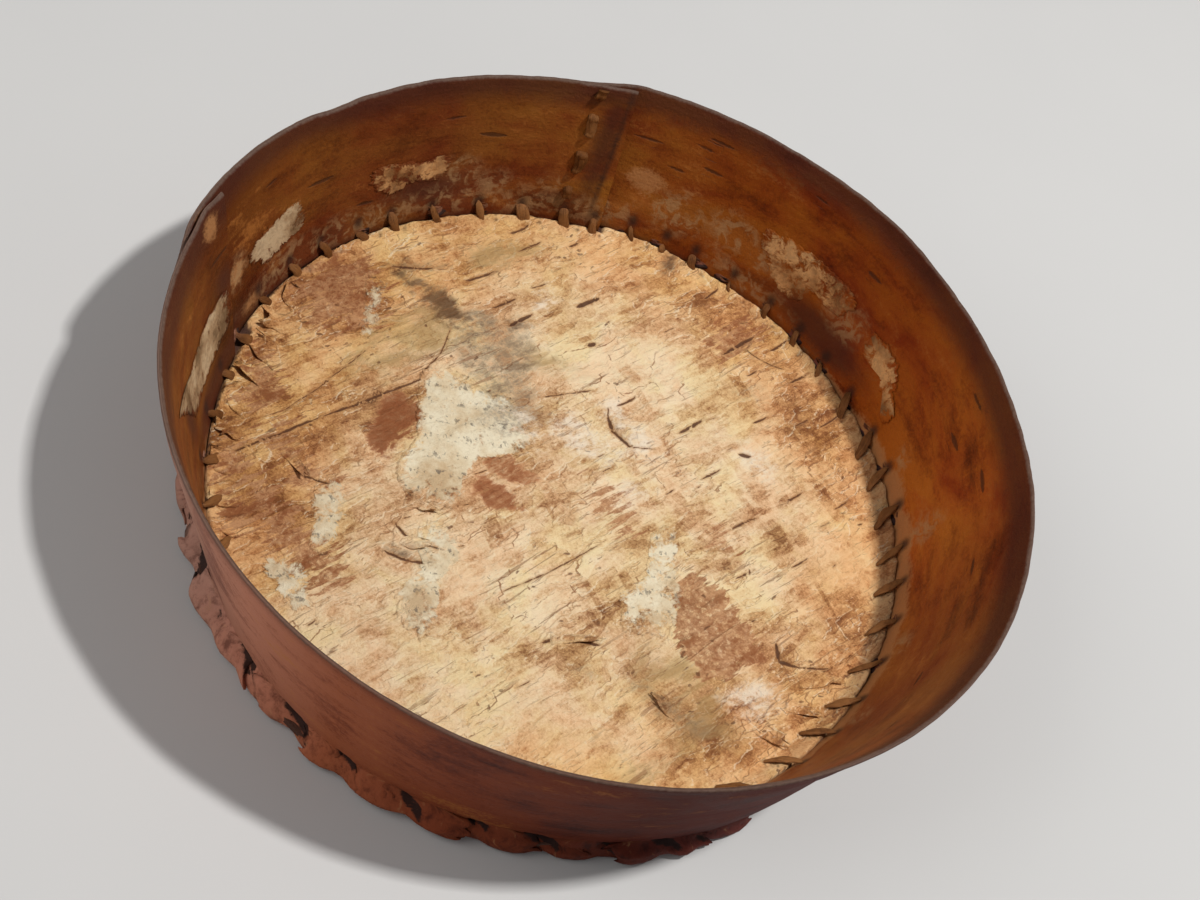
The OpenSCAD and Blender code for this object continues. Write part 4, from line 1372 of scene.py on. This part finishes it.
def wall_fields(angle, up, inner, top):
    """Fields of a wall strip at points given by angle and height above the base."""
    arc = np.radians(angle) * MEAN_R
    around = angle % 360.0
    distance = np.full(angle.shape, NO_SLIT_NEAR)
    width = np.full(angle.shape, NO_SLIT)
    for mark_angle, mark_up, half_length, half_width in WALL_MARKS:
        along = np.radians(turn_apart(around, mark_angle)) * MEAN_R
        across = up - mark_up - 0.12 * along * noise(np.array(mark_angle), np.array(mark_up), 3)
        near = (np.abs(along) < half_length * 1.3) & (np.abs(across) < 2.0)
        distance = np.where(near, across, distance)
        width = np.where(near, half_width * (1.0 - np.abs(along / half_length) ** 2.5) - 0.05, width)
    width = np.where(inner > 0.5, width, NO_SLIT)

    def patches(rows):
        """About how many millimetres inside its nearest oval a point of the inner face lies."""
        field = np.full(angle.shape, NO_MARK)
        for mark_angle, mark_up, half_arc, half_up in rows:
            along = np.radians(turn_apart(around, mark_angle)) * MEAN_R
            reach = np.hypot(along / half_arc, (up - mark_up) / half_up)
            field = np.maximum(field, (1.0 - reach) * min(half_arc, half_up))
        return np.where(inner > 0.5, field, NO_MARK)

    # Painted shade round each wall hole inside, and in the foot's slits outside
    foot_shade = np.full(angle.shape, NO_MARK)
    for i in range(STITCHES):
        along = np.radians(turn_apart(around, wall_angle(i))) * HOLE_RING_R
        hole = hole_up(wall_angle(i))
        foot_shade = np.maximum(foot_shade, 1.0 - np.hypot(along / 1.1, (up - hole - 0.4) / 1.5))
    foot_shade = np.where(inner > 0.5, foot_shade, 4.0 * foot_gap(around, BASE_Z1 + up))
    # Painted shade in the crease along the inner foot, stronger at the back
    foot_line = np.where(inner > 0.5, 0.5 * at_back(around) - 0.55 * up, NO_MARK)
    foot_and_lap_shade = np.maximum(np.maximum(patches(WALL_LAP_SHADE), foot_shade), foot_line)
    low_pale = 2.9 - 0.9 * up + 1.3 * noise(angle / 3.0, angle * 0.0, 101)
    low_pale = low_pale - 3.8 * at_back(around) + 3.0 * bump(turn_apart(around, 10.0), 22.0)
    low_pale = np.where(inner > 0.5, low_pale, NO_MARK)
    right_deep = 2.2 * bump(turn_apart(around, 12.0), 40.0)
    left_deep = 1.5 * bump(turn_apart(around, 206.0), 20.0)
    rim_deep = 3.0 + 0.4 * at_back(around) + right_deep + left_deep
    rim_dark = np.where(inner > 0.5, rim_deep - 0.75 * (top - up), 0.4 - 0.8 * (top - up))
    return {
        "along": arc,
        "up": up,
        "inner": inner,
        "own": wall_tint(around, inner),
        "slit_v": distance,
        "slit_w": width,
        "bare": np.maximum(patches(WALL_BARE), low_pale),
        "dust": patches(WALL_DUST),
        "plum": np.maximum(patches(WALL_PLUM), rim_dark),
        "foot_and_lap_shade": foot_and_lap_shade,
        "rim": clamp(1.0 - (top - up)),
    }


def make_strip(name, node, ends, slants, columns, material):
    """A wall strip: a section of inner face, round rim, outer face and foot, carried from end to end."""
    start, end = ends
    face_rows = 46
    rim_rows = 9
    fine_ends = np.array([0.0, 0.0002, 0.0008])
    share = np.concatenate([fine_ends, np.linspace(0.002, 0.998, columns), 1.0 - fine_ends[::-1]])[:, None]
    level = np.linspace(0.0, 1.0, face_rows)
    arc = np.linspace(0.0, 180.0, rim_rows + 2)[1:-1]
    side = np.concatenate([np.full(face_rows, -1.0), -cosd(arc), np.full(face_rows, 1.0)])[None, :]
    rise = np.concatenate([level, np.ones(rim_rows), level[::-1]])[None, :]
    crown = np.concatenate([np.zeros(face_rows), sind(arc), np.zeros(face_rows)])[None, :]
    rim_inner = np.ones(rim_rows) * (arc < 90.0)
    inner = np.concatenate([np.ones(face_rows), rim_inner, np.zeros(face_rows)])[None, :]
    angle0 = mix(start, end, share)
    lean = mix(slants[0], slants[1], share)
    rim_round = 0.7
    over_lap = ease((angle0 - end + LAP_ARC) / (0.5 * LAP_ARC))
    to_corner = ease((angle0 - end + 9.0) / 9.0) ** 1.5
    lap_drop, corner_drop = (2.8, 4.5) if ends == SHORT_STRIP else (1.4, 0.8)
    lowered = lap_drop * over_lap + corner_drop * to_corner
    top = rim_k(angle0) * WALL_H - lowered
    up = rise * (top - rim_round) + crown * rim_round
    k = up / WALL_H
    angle = angle0 + lean * (k - 0.5)
    skived = 1.0 - 0.72 * ease((angle0 - end + 0.8 * LAP_ARC) / (0.75 * LAP_ARC))
    half_thick = BARK_T / 2 * (1.0 - 0.10 * k - 0.35 * ease((k - 0.84) / 0.14))
    inner_r = mid_r(angle, k) + strip_shift(angle, start, end) - half_thick
    radius = inner_r + (side + 1.0) * half_thick * skived
    radius = radius + wall_waves(angle, up, inner + 0 * up)
    points = np.stack([radius * cosd(angle), radius * sind(angle), BASE_Z1 + up], axis=-1)
    rows, cols = angle.shape
    faces = [grid_faces(rows, cols, close_cols=True)]
    half = cols // 2
    low = np.arange(half)
    high = cols - 1 - low
    cap = np.stack([low[:-1], low[1:], high[1:], high[:-1]], axis=-1)
    middle = np.array([[half - 1, half, half + 1]])
    faces.append(cap)
    faces.append((rows - 1) * cols + cap[:, ::-1])
    faces.append(middle)
    faces.append((rows - 1) * cols + middle[:, ::-1])
    fields = wall_fields(angle, up, inner + 0 * up, top + 0 * up)
    return make_piece(name, points, faces, fields, material, [node])


def foot_swell(angle, up):
    """How far the outside stands out low down on the right of the front."""
    return 2.2 * bump(turn_apart(angle, 322.0), 24.0) * ease(1.0 - up / 26.0)


def wall_waves(angle, up, inner):
    """Radial unevenness of the wall: slow waves, pulled at the stitches, swollen and slit outside."""
    slow = 0.35 * fractal(angle / 22.0, up / 30.0, 2, 111)
    ripple = 0.06 * fractal(angle / 5.0, up / 2.0, 3, 121)
    pull = np.zeros(angle.shape)
    around = angle % 360.0
    for i in range(STITCHES):
        along = np.radians(turn_apart(around, wall_angle(i))) * HOLE_RING_R
        pull = np.maximum(pull, bump(np.hypot(along / 2.4, (up - HOLE_UP) / 2.0), 1.0))
    outside = foot_swell(around, up) - 0.8 * ease((foot_gap(around, BASE_Z1 + up) + 0.2) / 0.6)
    return (slow + ripple) * ease(up / 6.0) + np.where(inner > 0.5, 0.25 * pull, outside)


# Lacing

def smooth_path(rows, steps):
    """Catmull-Rom curve through rows of numbers, with the given steps in each span."""
    padded = np.concatenate([2 * rows[:1] - rows[1:2], rows, 2 * rows[-1:] - rows[-2:-1]])
    u = (np.arange(steps) / steps)[None, :, None]
    p0, p1, p2, p3 = (padded[n:len(rows) - 1 + n][:, None, :] for n in range(4))
    curve = 0.5 * (2 * p1 + (p2 - p0) * u + (2 * p0 - 5 * p1 + 4 * p2 - p3) * u ** 2
                   + (3 * p1 - p0 - 3 * p2 + p3) * u ** 3)
    return np.concatenate([curve.reshape(-1, rows.shape[1]), rows[-1:]])


def stitch_rows(i):
    """Stations of stitch i: angle, radius, height, facing, width, thickness, inside share, lean, tone."""
    first_seed = 300
    chance = np.random.default_rng(first_seed + i % STITCHES)
    base_at = base_angle(i)
    wall_at = wall_angle(i)
    next_at = base_angle(i + 1)
    near = float(at_back(base_at))
    start_at = mix(base_at, wall_at, 0.7 * near)
    start_r = float(base_hole_r(start_at))
    next_r = float(base_hole_r(next_at))
    hole_k = float(hole_up(wall_at)) * mix(1.0, 0.28 + 0.75 * chance.random(), near) / WALL_H
    hole_z = level_z(hole_k)
    inner_r = float(wall_in(wall_at, hole_k))
    outer_r = float(wall_out(wall_at, hole_k))
    lean = np.degrees(np.arctan2(hole_k * WALL_H - HALF_ROOT, inner_r - HALF_ROOT - start_r))
    fat = mix(0.7, 0.4, near) + mix(0.5, 0.95, near) * chance.random()
    sway = mix(0.8, 0.4, near) * (chance.random() - 0.5)
    past_front = ease(turn_apart(wall_at, 311.0) / 7.0)
    on_right = ease((80.0 - np.abs(turn_apart(wall_at, 0.0))) / 20.0)
    flat_outside = float(past_front * on_right)
    bulge = mix(1.5 * chance.random(), -0.5, flat_outside)
    tone = mix(0.25 + 0.4 * chance.random(), 0.36 * chance.random(), near)
    crest = 0.5 * (chance.random() - 0.5)
    drop = 0.7 * (chance.random() - 0.5)
    knob = float(bump(turn_apart(base_at, 192.0), 24.0))
    tab = float(bump(turn_apart(base_at, 122.0), 20.0))
    tone = tone + 0.3 * tab

    # Inside: up out of the base, over its crest and into the wall
    wide = mix(1.9, 1.5, near) * fat + 0.5 * knob + 0.9 * tab
    end_wide = mix(0.6, 0.95, near) * wide
    hole_wide = mix(1.0, 0.85 * wide, near)
    rise_at, crest_at, reach_at = (mix(start_at, wall_at, share) for share in (0.08, 0.5, 0.92))
    middle_z = mix(BASE_Z0, BASE_Z1, 0.5)
    crest_r = mix(start_r, inner_r - 0.4, 0.5) - 0.1
    crest_z = mix(BASE_Z1 + 0.3, hole_z, 0.5) + 0.15 + crest * mix(0.4, 1.0, near)
    inside = [
        [start_at, start_r, middle_z, 180.0, hole_wide, 0.5, 1.0, 0.0, tone],
        [rise_at, start_r + 0.2, BASE_Z1 + 0.2, 135.0 + lean / 2, end_wide, 0.6, 1.0, 1.0, tone],
        [crest_at + sway, crest_r, crest_z, 90.0 + lean, wide, 0.5 + 0.3 * knob, 1.0, 1.0, tone],
        [reach_at, inner_r - 0.35, hole_z - 0.1, 90.0 + lean / 2, end_wide, 0.6, 1.0, 1.0, tone],
        [wall_at, (inner_r + outer_r) / 2, hole_z, 90.0, 1.2 * hole_wide, 0.6, 0.6, 0.0, tone],
    ]

    # Outside: down over the base's edge in a lump, and under it to the next hole
    outer_shares = (0.05, 0.25, 0.45, 0.66, 0.92)
    top_at, edge_at, foot_at, under_at, end_at = (mix(wall_at, next_at, share) for share in outer_shares)
    lump = 1.55 * np.radians(next_at - base_at) * FOOT_R
    swell = float(foot_swell(edge_at, 0.0)) * (1.0 - flat_outside)
    top_r = outer_r - 0.45 + swell
    edge_r = max(float(base_edge(edge_at)), float(wall_out(edge_at, 0.0))) + swell
    foot_r = float(base_edge(foot_at)) + swell
    under_r = float(base_edge(under_at)) - ROOT_T
    under_z = ROOT_T / 2
    outside = [
        [top_at, top_r, BASE_Z1 + 1.7, 14.0, 0.95 * lump, 0.7, 0.0, 0.0, tone],
        [edge_at, edge_r - 0.35 + bulge, BASE_Z1 - 0.7 + drop, 4.0, lump, 1.3, 0.0, 0.0, tone],
        [foot_at, foot_r - 0.3 + 0.5 * bulge, BASE_Z0 - 0.35, -42.0, 0.95 * lump, 1.3, 0.0, 0.0, tone],
        [under_at, under_r, under_z, -90.0, 5.4, ROOT_T, 0.0, 0.0, tone],
        [end_at, next_r + 1.2, under_z, -90.0, 2.4, ROOT_T, 0.0, 0.0, tone],
        [next_at, next_r + 0.15, under_z + 0.25, -135.0, 2.0, 0.9, 0.3, 0.0, tone],
    ]
    return np.array(inside + outside)


def unit(vectors):
    """Vectors of length 1 in the same directions."""
    return vectors / np.maximum(1e-9, np.linalg.norm(vectors, axis=-1, keepdims=True))


def root_tube(name, node, middle, face, across, width, thick, inner, tone, material):
    """A split root swept along its middle line: a half round section with shallow ridges, closed flat."""
    sides = 28
    turn = (np.arange(sides) + 0.5) * 360.0 / sides
    count = len(middle)
    length = np.concatenate([[0.0], np.cumsum(np.linalg.norm(np.diff(middle, axis=0), axis=1))])
    ridge = 1.0 + 0.22 * noise(length[:, None] / 2.2, turn[None, :] / 40.0, 131) + 0.16 * noise(
        length[:, None] / 0.8, turn[None, :] / 50.0, 135)
    flat = np.where(sind(turn) > 0, 0.58, 0.42)
    sideways = 0.5 * cosd(turn)[None, :] * width[:, None] * ridge
    upright = (sind(turn) * flat)[None, :] * thick[:, None] * ridge
    points = middle[:, None, :] + across[:, None, :] * sideways[..., None]
    points = points + face[:, None, :] * upright[..., None]
    angle = np.degrees(np.arctan2(points[..., 1], points[..., 0])) % 360.0
    gap = np.where(inner[:, None] < 0.5, foot_gap(angle, points[..., 2]), NO_GAP)
    notch = np.where(inner[:, None] < 0.5, foot_notch(angle), 0.0)
    sunk = 1.0 - (0.9 * ease((gap + 0.2) / 0.6) + notch) / np.hypot(points[..., 0], points[..., 1])
    points[..., :2] *= sunk[..., None]
    lowest = 0.02
    points[..., 2] = np.maximum(points[..., 2], lowest)
    faces = [grid_faces(count, sides, close_cols=True)]
    faces.append(np.arange(sides)[None, ::-1])
    faces.append(((count - 1) * sides + np.arange(sides))[None, :])
    fields = {
        "gap": gap,
        "along": np.repeat(length[:, None], sides, axis=1),
        "round": np.repeat(cosd(turn / 2)[None, :] * 3.0, count, axis=0),
        "crown": np.repeat((0.5 + 0.5 * sind(turn))[None, :], count, axis=0),
        "inner": np.repeat(clamp(inner)[:, None], sides, axis=1),
        "tone": np.repeat(clamp(tone)[:, None], sides, axis=1),
        "own": wall_tint(angle, np.zeros(angle.shape)),
    }
    return make_piece(name, points, faces, fields, material, [node])


def make_base_strand(number, material):
    """One length of root: up through the base, over, out through the wall, round and under, repeated."""
    first = number * STRAND_STITCHES
    spans = []
    for n in range(STRAND_STITCHES):
        rows = stitch_rows(first + n)
        rows[:, 3] -= 360.0 * n
        spans.append(rows)
    closing = stitch_rows(first + STRAND_STITCHES)[:1]
    closing[:, 3] -= 360.0 * STRAND_STITCHES
    spans.append(closing)
    path = smooth_path(np.concatenate(spans), 7)
    angle, radius, height, looks, width, thick, inner, lean, tone = path.T
    middle = np.stack([radius * cosd(angle), radius * sind(angle), height], axis=-1)
    out = np.stack([cosd(angle), sind(angle), 0 * angle], axis=-1)
    face = cosd(looks)[:, None] * out + sind(looks)[:, None] * np.array([0.0, 0.0, 1.0])
    forward = unit(np.gradient(middle, axis=0))
    level = np.stack([sind(angle), -cosd(angle), 0 * angle], axis=-1)
    share = clamp(lean)[:, None]
    across = unit(unit(np.cross(forward, face)) * share + level * (1 - share))
    node = f"base_lacing_{number + 1}"
    return root_tube(f"{node}_root", node, middle, face, across, width, thick, inner, tone, material)


def make_lap_lacing(material):
    """Running stitch down the lap: in and out of both layers, straight along the wall between its holes."""
    bend = 1.1 * LAP_ROOT_T
    tail = bend + LAP_ROOT_T

    def station(k, rise, out, share):
        """Radius and height of a point at a hole, part of the way through the wall."""
        level = k + rise / WALL_H
        inside_r = float(wall_in(LAP_ANGLE, level)) - HALF_LAP_ROOT
        outside_r = float(wall_out(LAP_ANGLE, level)) + HALF_LAP_ROOT
        sides = (inside_r, outside_r)
        return [mix(sides[out], sides[1 - out], share), level_z(level)]

    holes = mix(WALL_H - LAP_HIGH, HOLE_UP + LAP_LOW, np.arange(LAP_HOLES) / (LAP_HOLES - 1)) / WALL_H
    rows = [station(holes[0], tail, 0, 0.0)]
    for i, k in enumerate(holes):
        out = i % 2
        rows += [station(k, bend, out, 0.0), station(k, 0.1, out, 0.05)]
        rows += [station(k, -0.1, out, 0.95), station(k, -bend, out, 1.0)]
    rows.append(station(holes[-1], -tail, 0, 0.0))
    path = smooth_path(np.array(rows), 6)
    radius, height = path.T
    sway = 0.35 * noise(height / 4.0, height * 0.0, 141)
    angle = LAP_ANGLE + sway
    middle = np.stack([radius * cosd(angle), radius * sind(angle), height], axis=-1)
    forward = unit(np.gradient(middle, axis=0))
    across = np.repeat(np.array([[-sind(LAP_ANGLE), cosd(LAP_ANGLE), 0.0]]), len(path), axis=0)
    face = np.cross(across, forward)
    width = LAP_ROOT_W * (0.72 + 0.12 * noise(height / 3.0, height * 0.0, 145))
    thick = np.full(len(path), 0.95 * LAP_ROOT_T)
    tone = mix(0.0, 0.5, bump(height - 28.0, 4.0))
    plain = np.ones(len(path))
    node = "lap_lacing"
    return root_tube(f"{node}_root", node, middle, face, across, width, thick, plain, tone, material)


# Paper scraps

# Torn outlines, in x and y on the base
FLOOR_SCRAPS = {
    "middle": (
        (-36.5, 11), (-31, 14), (-24, 13), (-17, 14.5), (-11, 10), (-9.5, 4.5), (-13, 0.5),
        (-17, -3), (-18, -9), (-16.5, -15.5), (-22, -18), (-28, -17.5), (-31, -13), (-30.5, -4),
        (-34.5, 4),
    ),
    "front": (
        (-20, -22), (-14, -20.5), (-11, -25), (-12, -32), (-9.5, -39), (-10, -45), (-15, -44),
        (-18, -38), (-17, -31), (-20.5, -27),
    ),
    "left": (
        (-42, -24), (-37.5, -22.5), (-35, -28), (-33.5, -34), (-34, -39.5), (-37, -38),
        (-38.5, -33), (-41, -29),
    ),
    "right": (
        (20.5, 2), (24.5, 3), (27.5, -4), (30.5, -10), (31, -18), (27, -22.5), (22, -22), (20, -16),
        (22, -9), (20.5, -3),
    ),
    "corner": (
        (-42, -44.5), (-37, -43), (-33, -45.5), (-31, -49.5), (-33.5, -52), (-38, -49.5),
        (-41.5, -48),
    ),
    "back": (
        (-56.5, 25.5), (-52.5, 26.5), (-51, 21), (-48.5, 16), (-49, 12), (-52, 11.5), (-53, 17),
        (-55, 21),
    ),
}
# Torn outlines, in angle and height on the wall
WALL_SCRAPS = {
    "left": (
        (213, 23.5), (209, 19.5), (204, 17.5), (196, 17.8), (189, 17.4), (186.2, 16.8),
        (185.6, 14.5), (185.8, 11), (188, 9), (193, 8.2), (200, 8.6), (205, 10), (207, 13.5),
        (210, 18),
    ),
    "leaf": (
        (177, 14), (174, 16), (169, 17), (164.5, 17.3), (163.5, 13), (164.5, 10.2), (168, 9.7),
        (172, 8.7), (175.5, 11),
    ),
    "far": (
        (150, 16), (146, 16.8), (141, 15.8), (137, 16.5), (136, 13), (138.5, 10.5), (142, 11),
        (145, 9), (147.5, 10), (149.5, 12.5),
    ),
    "right": (
        (80, 17.5), (76, 19), (70, 19.5), (64, 19.8), (60.5, 18.5), (61, 14), (64.5, 12.5),
        (67, 13.5), (69, 9), (73, 6.5), (76, 8.5), (77, 12), (79, 14),
    ),
    "streak": (
        (55, 17), (52, 18.2), (48, 17.5), (45.5, 14), (42.5, 11), (42, 8), (43.5, 7), (46, 10),
        (49, 12), (53.5, 12.2),
    ),
}


def torn_outline(points, seed, tear, rings=14, turns=260):
    """Rings from an outline's middle out to its edge: a closed curve through the points, finely torn."""
    corners = np.array(points + points[:3], float)
    curve = smooth_path(corners, 24)
    step = np.linspace(24, 24 * (len(points) + 1), turns, endpoint=False)
    count = np.arange(len(curve))
    edge = np.stack([np.interp(step, count, curve[:, 0]), np.interp(step, count, curve[:, 1])], axis=-1)
    middle = edge.mean(axis=0)
    turn = np.arange(turns) * 2 * np.pi / turns
    ragged = fractal(6.0 * np.cos(turn) + seed, 6.0 * np.sin(turn), 3, seed) + 0.6 * fractal(
        22.0 * np.cos(turn), 22.0 * np.sin(turn) + seed, 2, seed + 9)
    edge = edge + unit(edge - middle) * tear * ragged[:, None]
    share = np.linspace(0.02, 1.0, rings)[:, None]
    rows = middle + share[..., None] * (edge - middle)
    return rows[..., 0], rows[..., 1], share + 0 * turn


def make_scrap(name, node, upper, lower, share, wear, fields, material):
    """A thin closed sheet: rings of its upper face out to the torn edge and back below."""
    rings, turns = share.shape
    points = np.concatenate([upper, lower[::-1]])
    faces = [grid_faces(2 * rings, turns, close_cols=True)]
    faces.append(np.arange(turns)[None, ::-1])
    faces.append(((2 * rings - 1) * turns + np.arange(turns))[None, :])
    fields["whole"] = 1.0 - wear - (1.6 - wear) * share ** 6
    doubled = {field: np.concatenate([value, value[::-1]]) for field, value in fields.items()}
    return make_piece(name, points, faces, doubled, material, [node])


def make_floor_scrap(name, outline, seed, material):
    """A scrap on the base: its torn outline laid on the base's relief and thinning to its edge."""
    x, y, share = torn_outline(outline, seed, 1.3)
    marks = base_marks(x, y)
    low = BASE_Z1 + base_relief(x, y, marks) + 0.02
    wrinkle = 0.04 * fractal(x / 3.0, y / 3.0, 3, seed + 3)
    high = low + (0.5 * PAPER_T + wrinkle) * (1.0 - share ** 2) + 0.03
    upper = np.stack([x, y, high], axis=-1)
    lower = np.stack([x, y, low], axis=-1)
    wear = {"middle": 0.1, "back": 0.9}.get(name, 0.5)
    node = f"paper_floor_{name}"
    return make_scrap(f"{node}_sheet", node, upper, lower, share, wear, marks, material)


def make_wall_scrap(name, outline, seed, material):
    """A scrap on the wall: its torn outline wrapped on the inner face."""
    angle, up, share = torn_outline(outline, seed, 0.9)
    k = up / WALL_H
    wall = wall_in(angle, k) + wall_waves(angle, up, np.ones(up.shape))
    wrinkle = 0.04 * fractal(angle / 2.0, up / 2.5, 3, seed + 3)
    low = wall - 0.06
    high = low - (0.6 * PAPER_T + wrinkle) * (1.0 - share ** 2) - 0.02
    upper = np.stack([high * cosd(angle), high * sind(angle), level_z(k)], axis=-1)
    lower = np.stack([low * cosd(angle), low * sind(angle), level_z(k)], axis=-1)
    fields = wall_fields(angle, up, np.ones(up.shape), rim_k(angle) * WALL_H)
    worn_through = name in ("right", "streak", "far")
    wear = 0.45 if worn_through else -0.4
    fields["browned"] = np.full(up.shape, 1.0 if worn_through else 0.0)
    node = f"paper_wall_{name}"
    return make_scrap(f"{node}_sheet", node, upper, lower, share, wear, fields, material)


# Stage and light

def make_stage():
    """A wide pale floor under the basket."""
    half = 3.0
    mesh = bpy.data.meshes.new("floor")
    corners = [(-half, -half, 0), (half, -half, 0), (half, half, 0), (-half, half, 0)]
    mesh.from_pydata(corners, [], [(0, 1, 2, 3)])
    mesh.materials.append(pale_floor())
    floor = bpy.data.objects.new("floor", mesh)
    bpy.context.scene.collection.objects.link(floor)


def add_lamp(name, azimuth, elevation, distance, size, watts):
    """A square area lamp that looks at the basket from an azimuth and an elevation."""
    back = np.array([cosd(azimuth) * cosd(elevation), sind(azimuth) * cosd(elevation), sind(elevation)])
    lamp_data = bpy.data.lights.new(name, "AREA")
    lamp_data.size = size
    lamp_data.energy = watts
    lamp = bpy.data.objects.new(name, lamp_data)
    side = unit(np.cross([0.0, 0.0, 1.0], back))
    top = np.cross(back, side)
    matrix = np.eye(4)
    matrix[:3, :3] = np.column_stack([side, top, back])
    matrix[:3, 3] = back * distance
    lamp.matrix_world = Matrix(matrix.tolist())
    bpy.context.scene.collection.objects.link(lamp)


def make_light():
    """Soft studio light: a high key from the right, a weak fill from the front left, an even world."""
    add_lamp("key", azimuth=20.0, elevation=66.8, distance=1.2, size=0.07, watts=12.4)
    add_lamp("fill", azimuth=205.0, elevation=42.0, distance=1.4, size=0.9, watts=5.6)
    world = bpy.data.worlds.new("studio")
    world.use_nodes = True
    background = world.node_tree.nodes["Background"]
    background.inputs["Color"].default_value = (0.95, 0.96, 1.0, 1.0)
    background.inputs["Strength"].default_value = 0.24
    bpy.context.scene.world = world
    bpy.context.scene.view_settings.view_transform = "Standard"


# Stations along each wall strip, and the first seeds of the scraps' torn edges
LONG_COLUMNS = 640
SHORT_COLUMNS = 230
FLOOR_SEED = 400
WALL_SEED = 600
SEED_STEP = 20

make_camera()
make_stage()
make_light()

bark_of_base = base_bark()
bark_of_wall = wall_bark()
root = split_root()
paper_on_base = paper_lining("paper_on_base", False)
paper_on_wall = paper_lining("paper_on_wall", True)

make_base(bark_of_base)
make_flakes(bark_of_base)
long_slants = (LAP_B_SLANT, 0.0)
short_slants = (LAP_A_SLANT, 0.0)
make_strip("long_wall_bark", "long_wall_strip", LONG_STRIP, long_slants, LONG_COLUMNS, bark_of_wall)
make_strip("short_wall_bark", "short_wall_strip", SHORT_STRIP, short_slants, SHORT_COLUMNS, bark_of_wall)
for strand in range(STRANDS):
    make_base_strand(strand, root)
make_lap_lacing(root)
for number, (scrap, outline) in enumerate(FLOOR_SCRAPS.items()):
    make_floor_scrap(scrap, outline, FLOOR_SEED + SEED_STEP * number, paper_on_base)
for number, (scrap, outline) in enumerate(WALL_SCRAPS.items()):
    make_wall_scrap(scrap, outline, WALL_SEED + SEED_STEP * number, paper_on_wall)
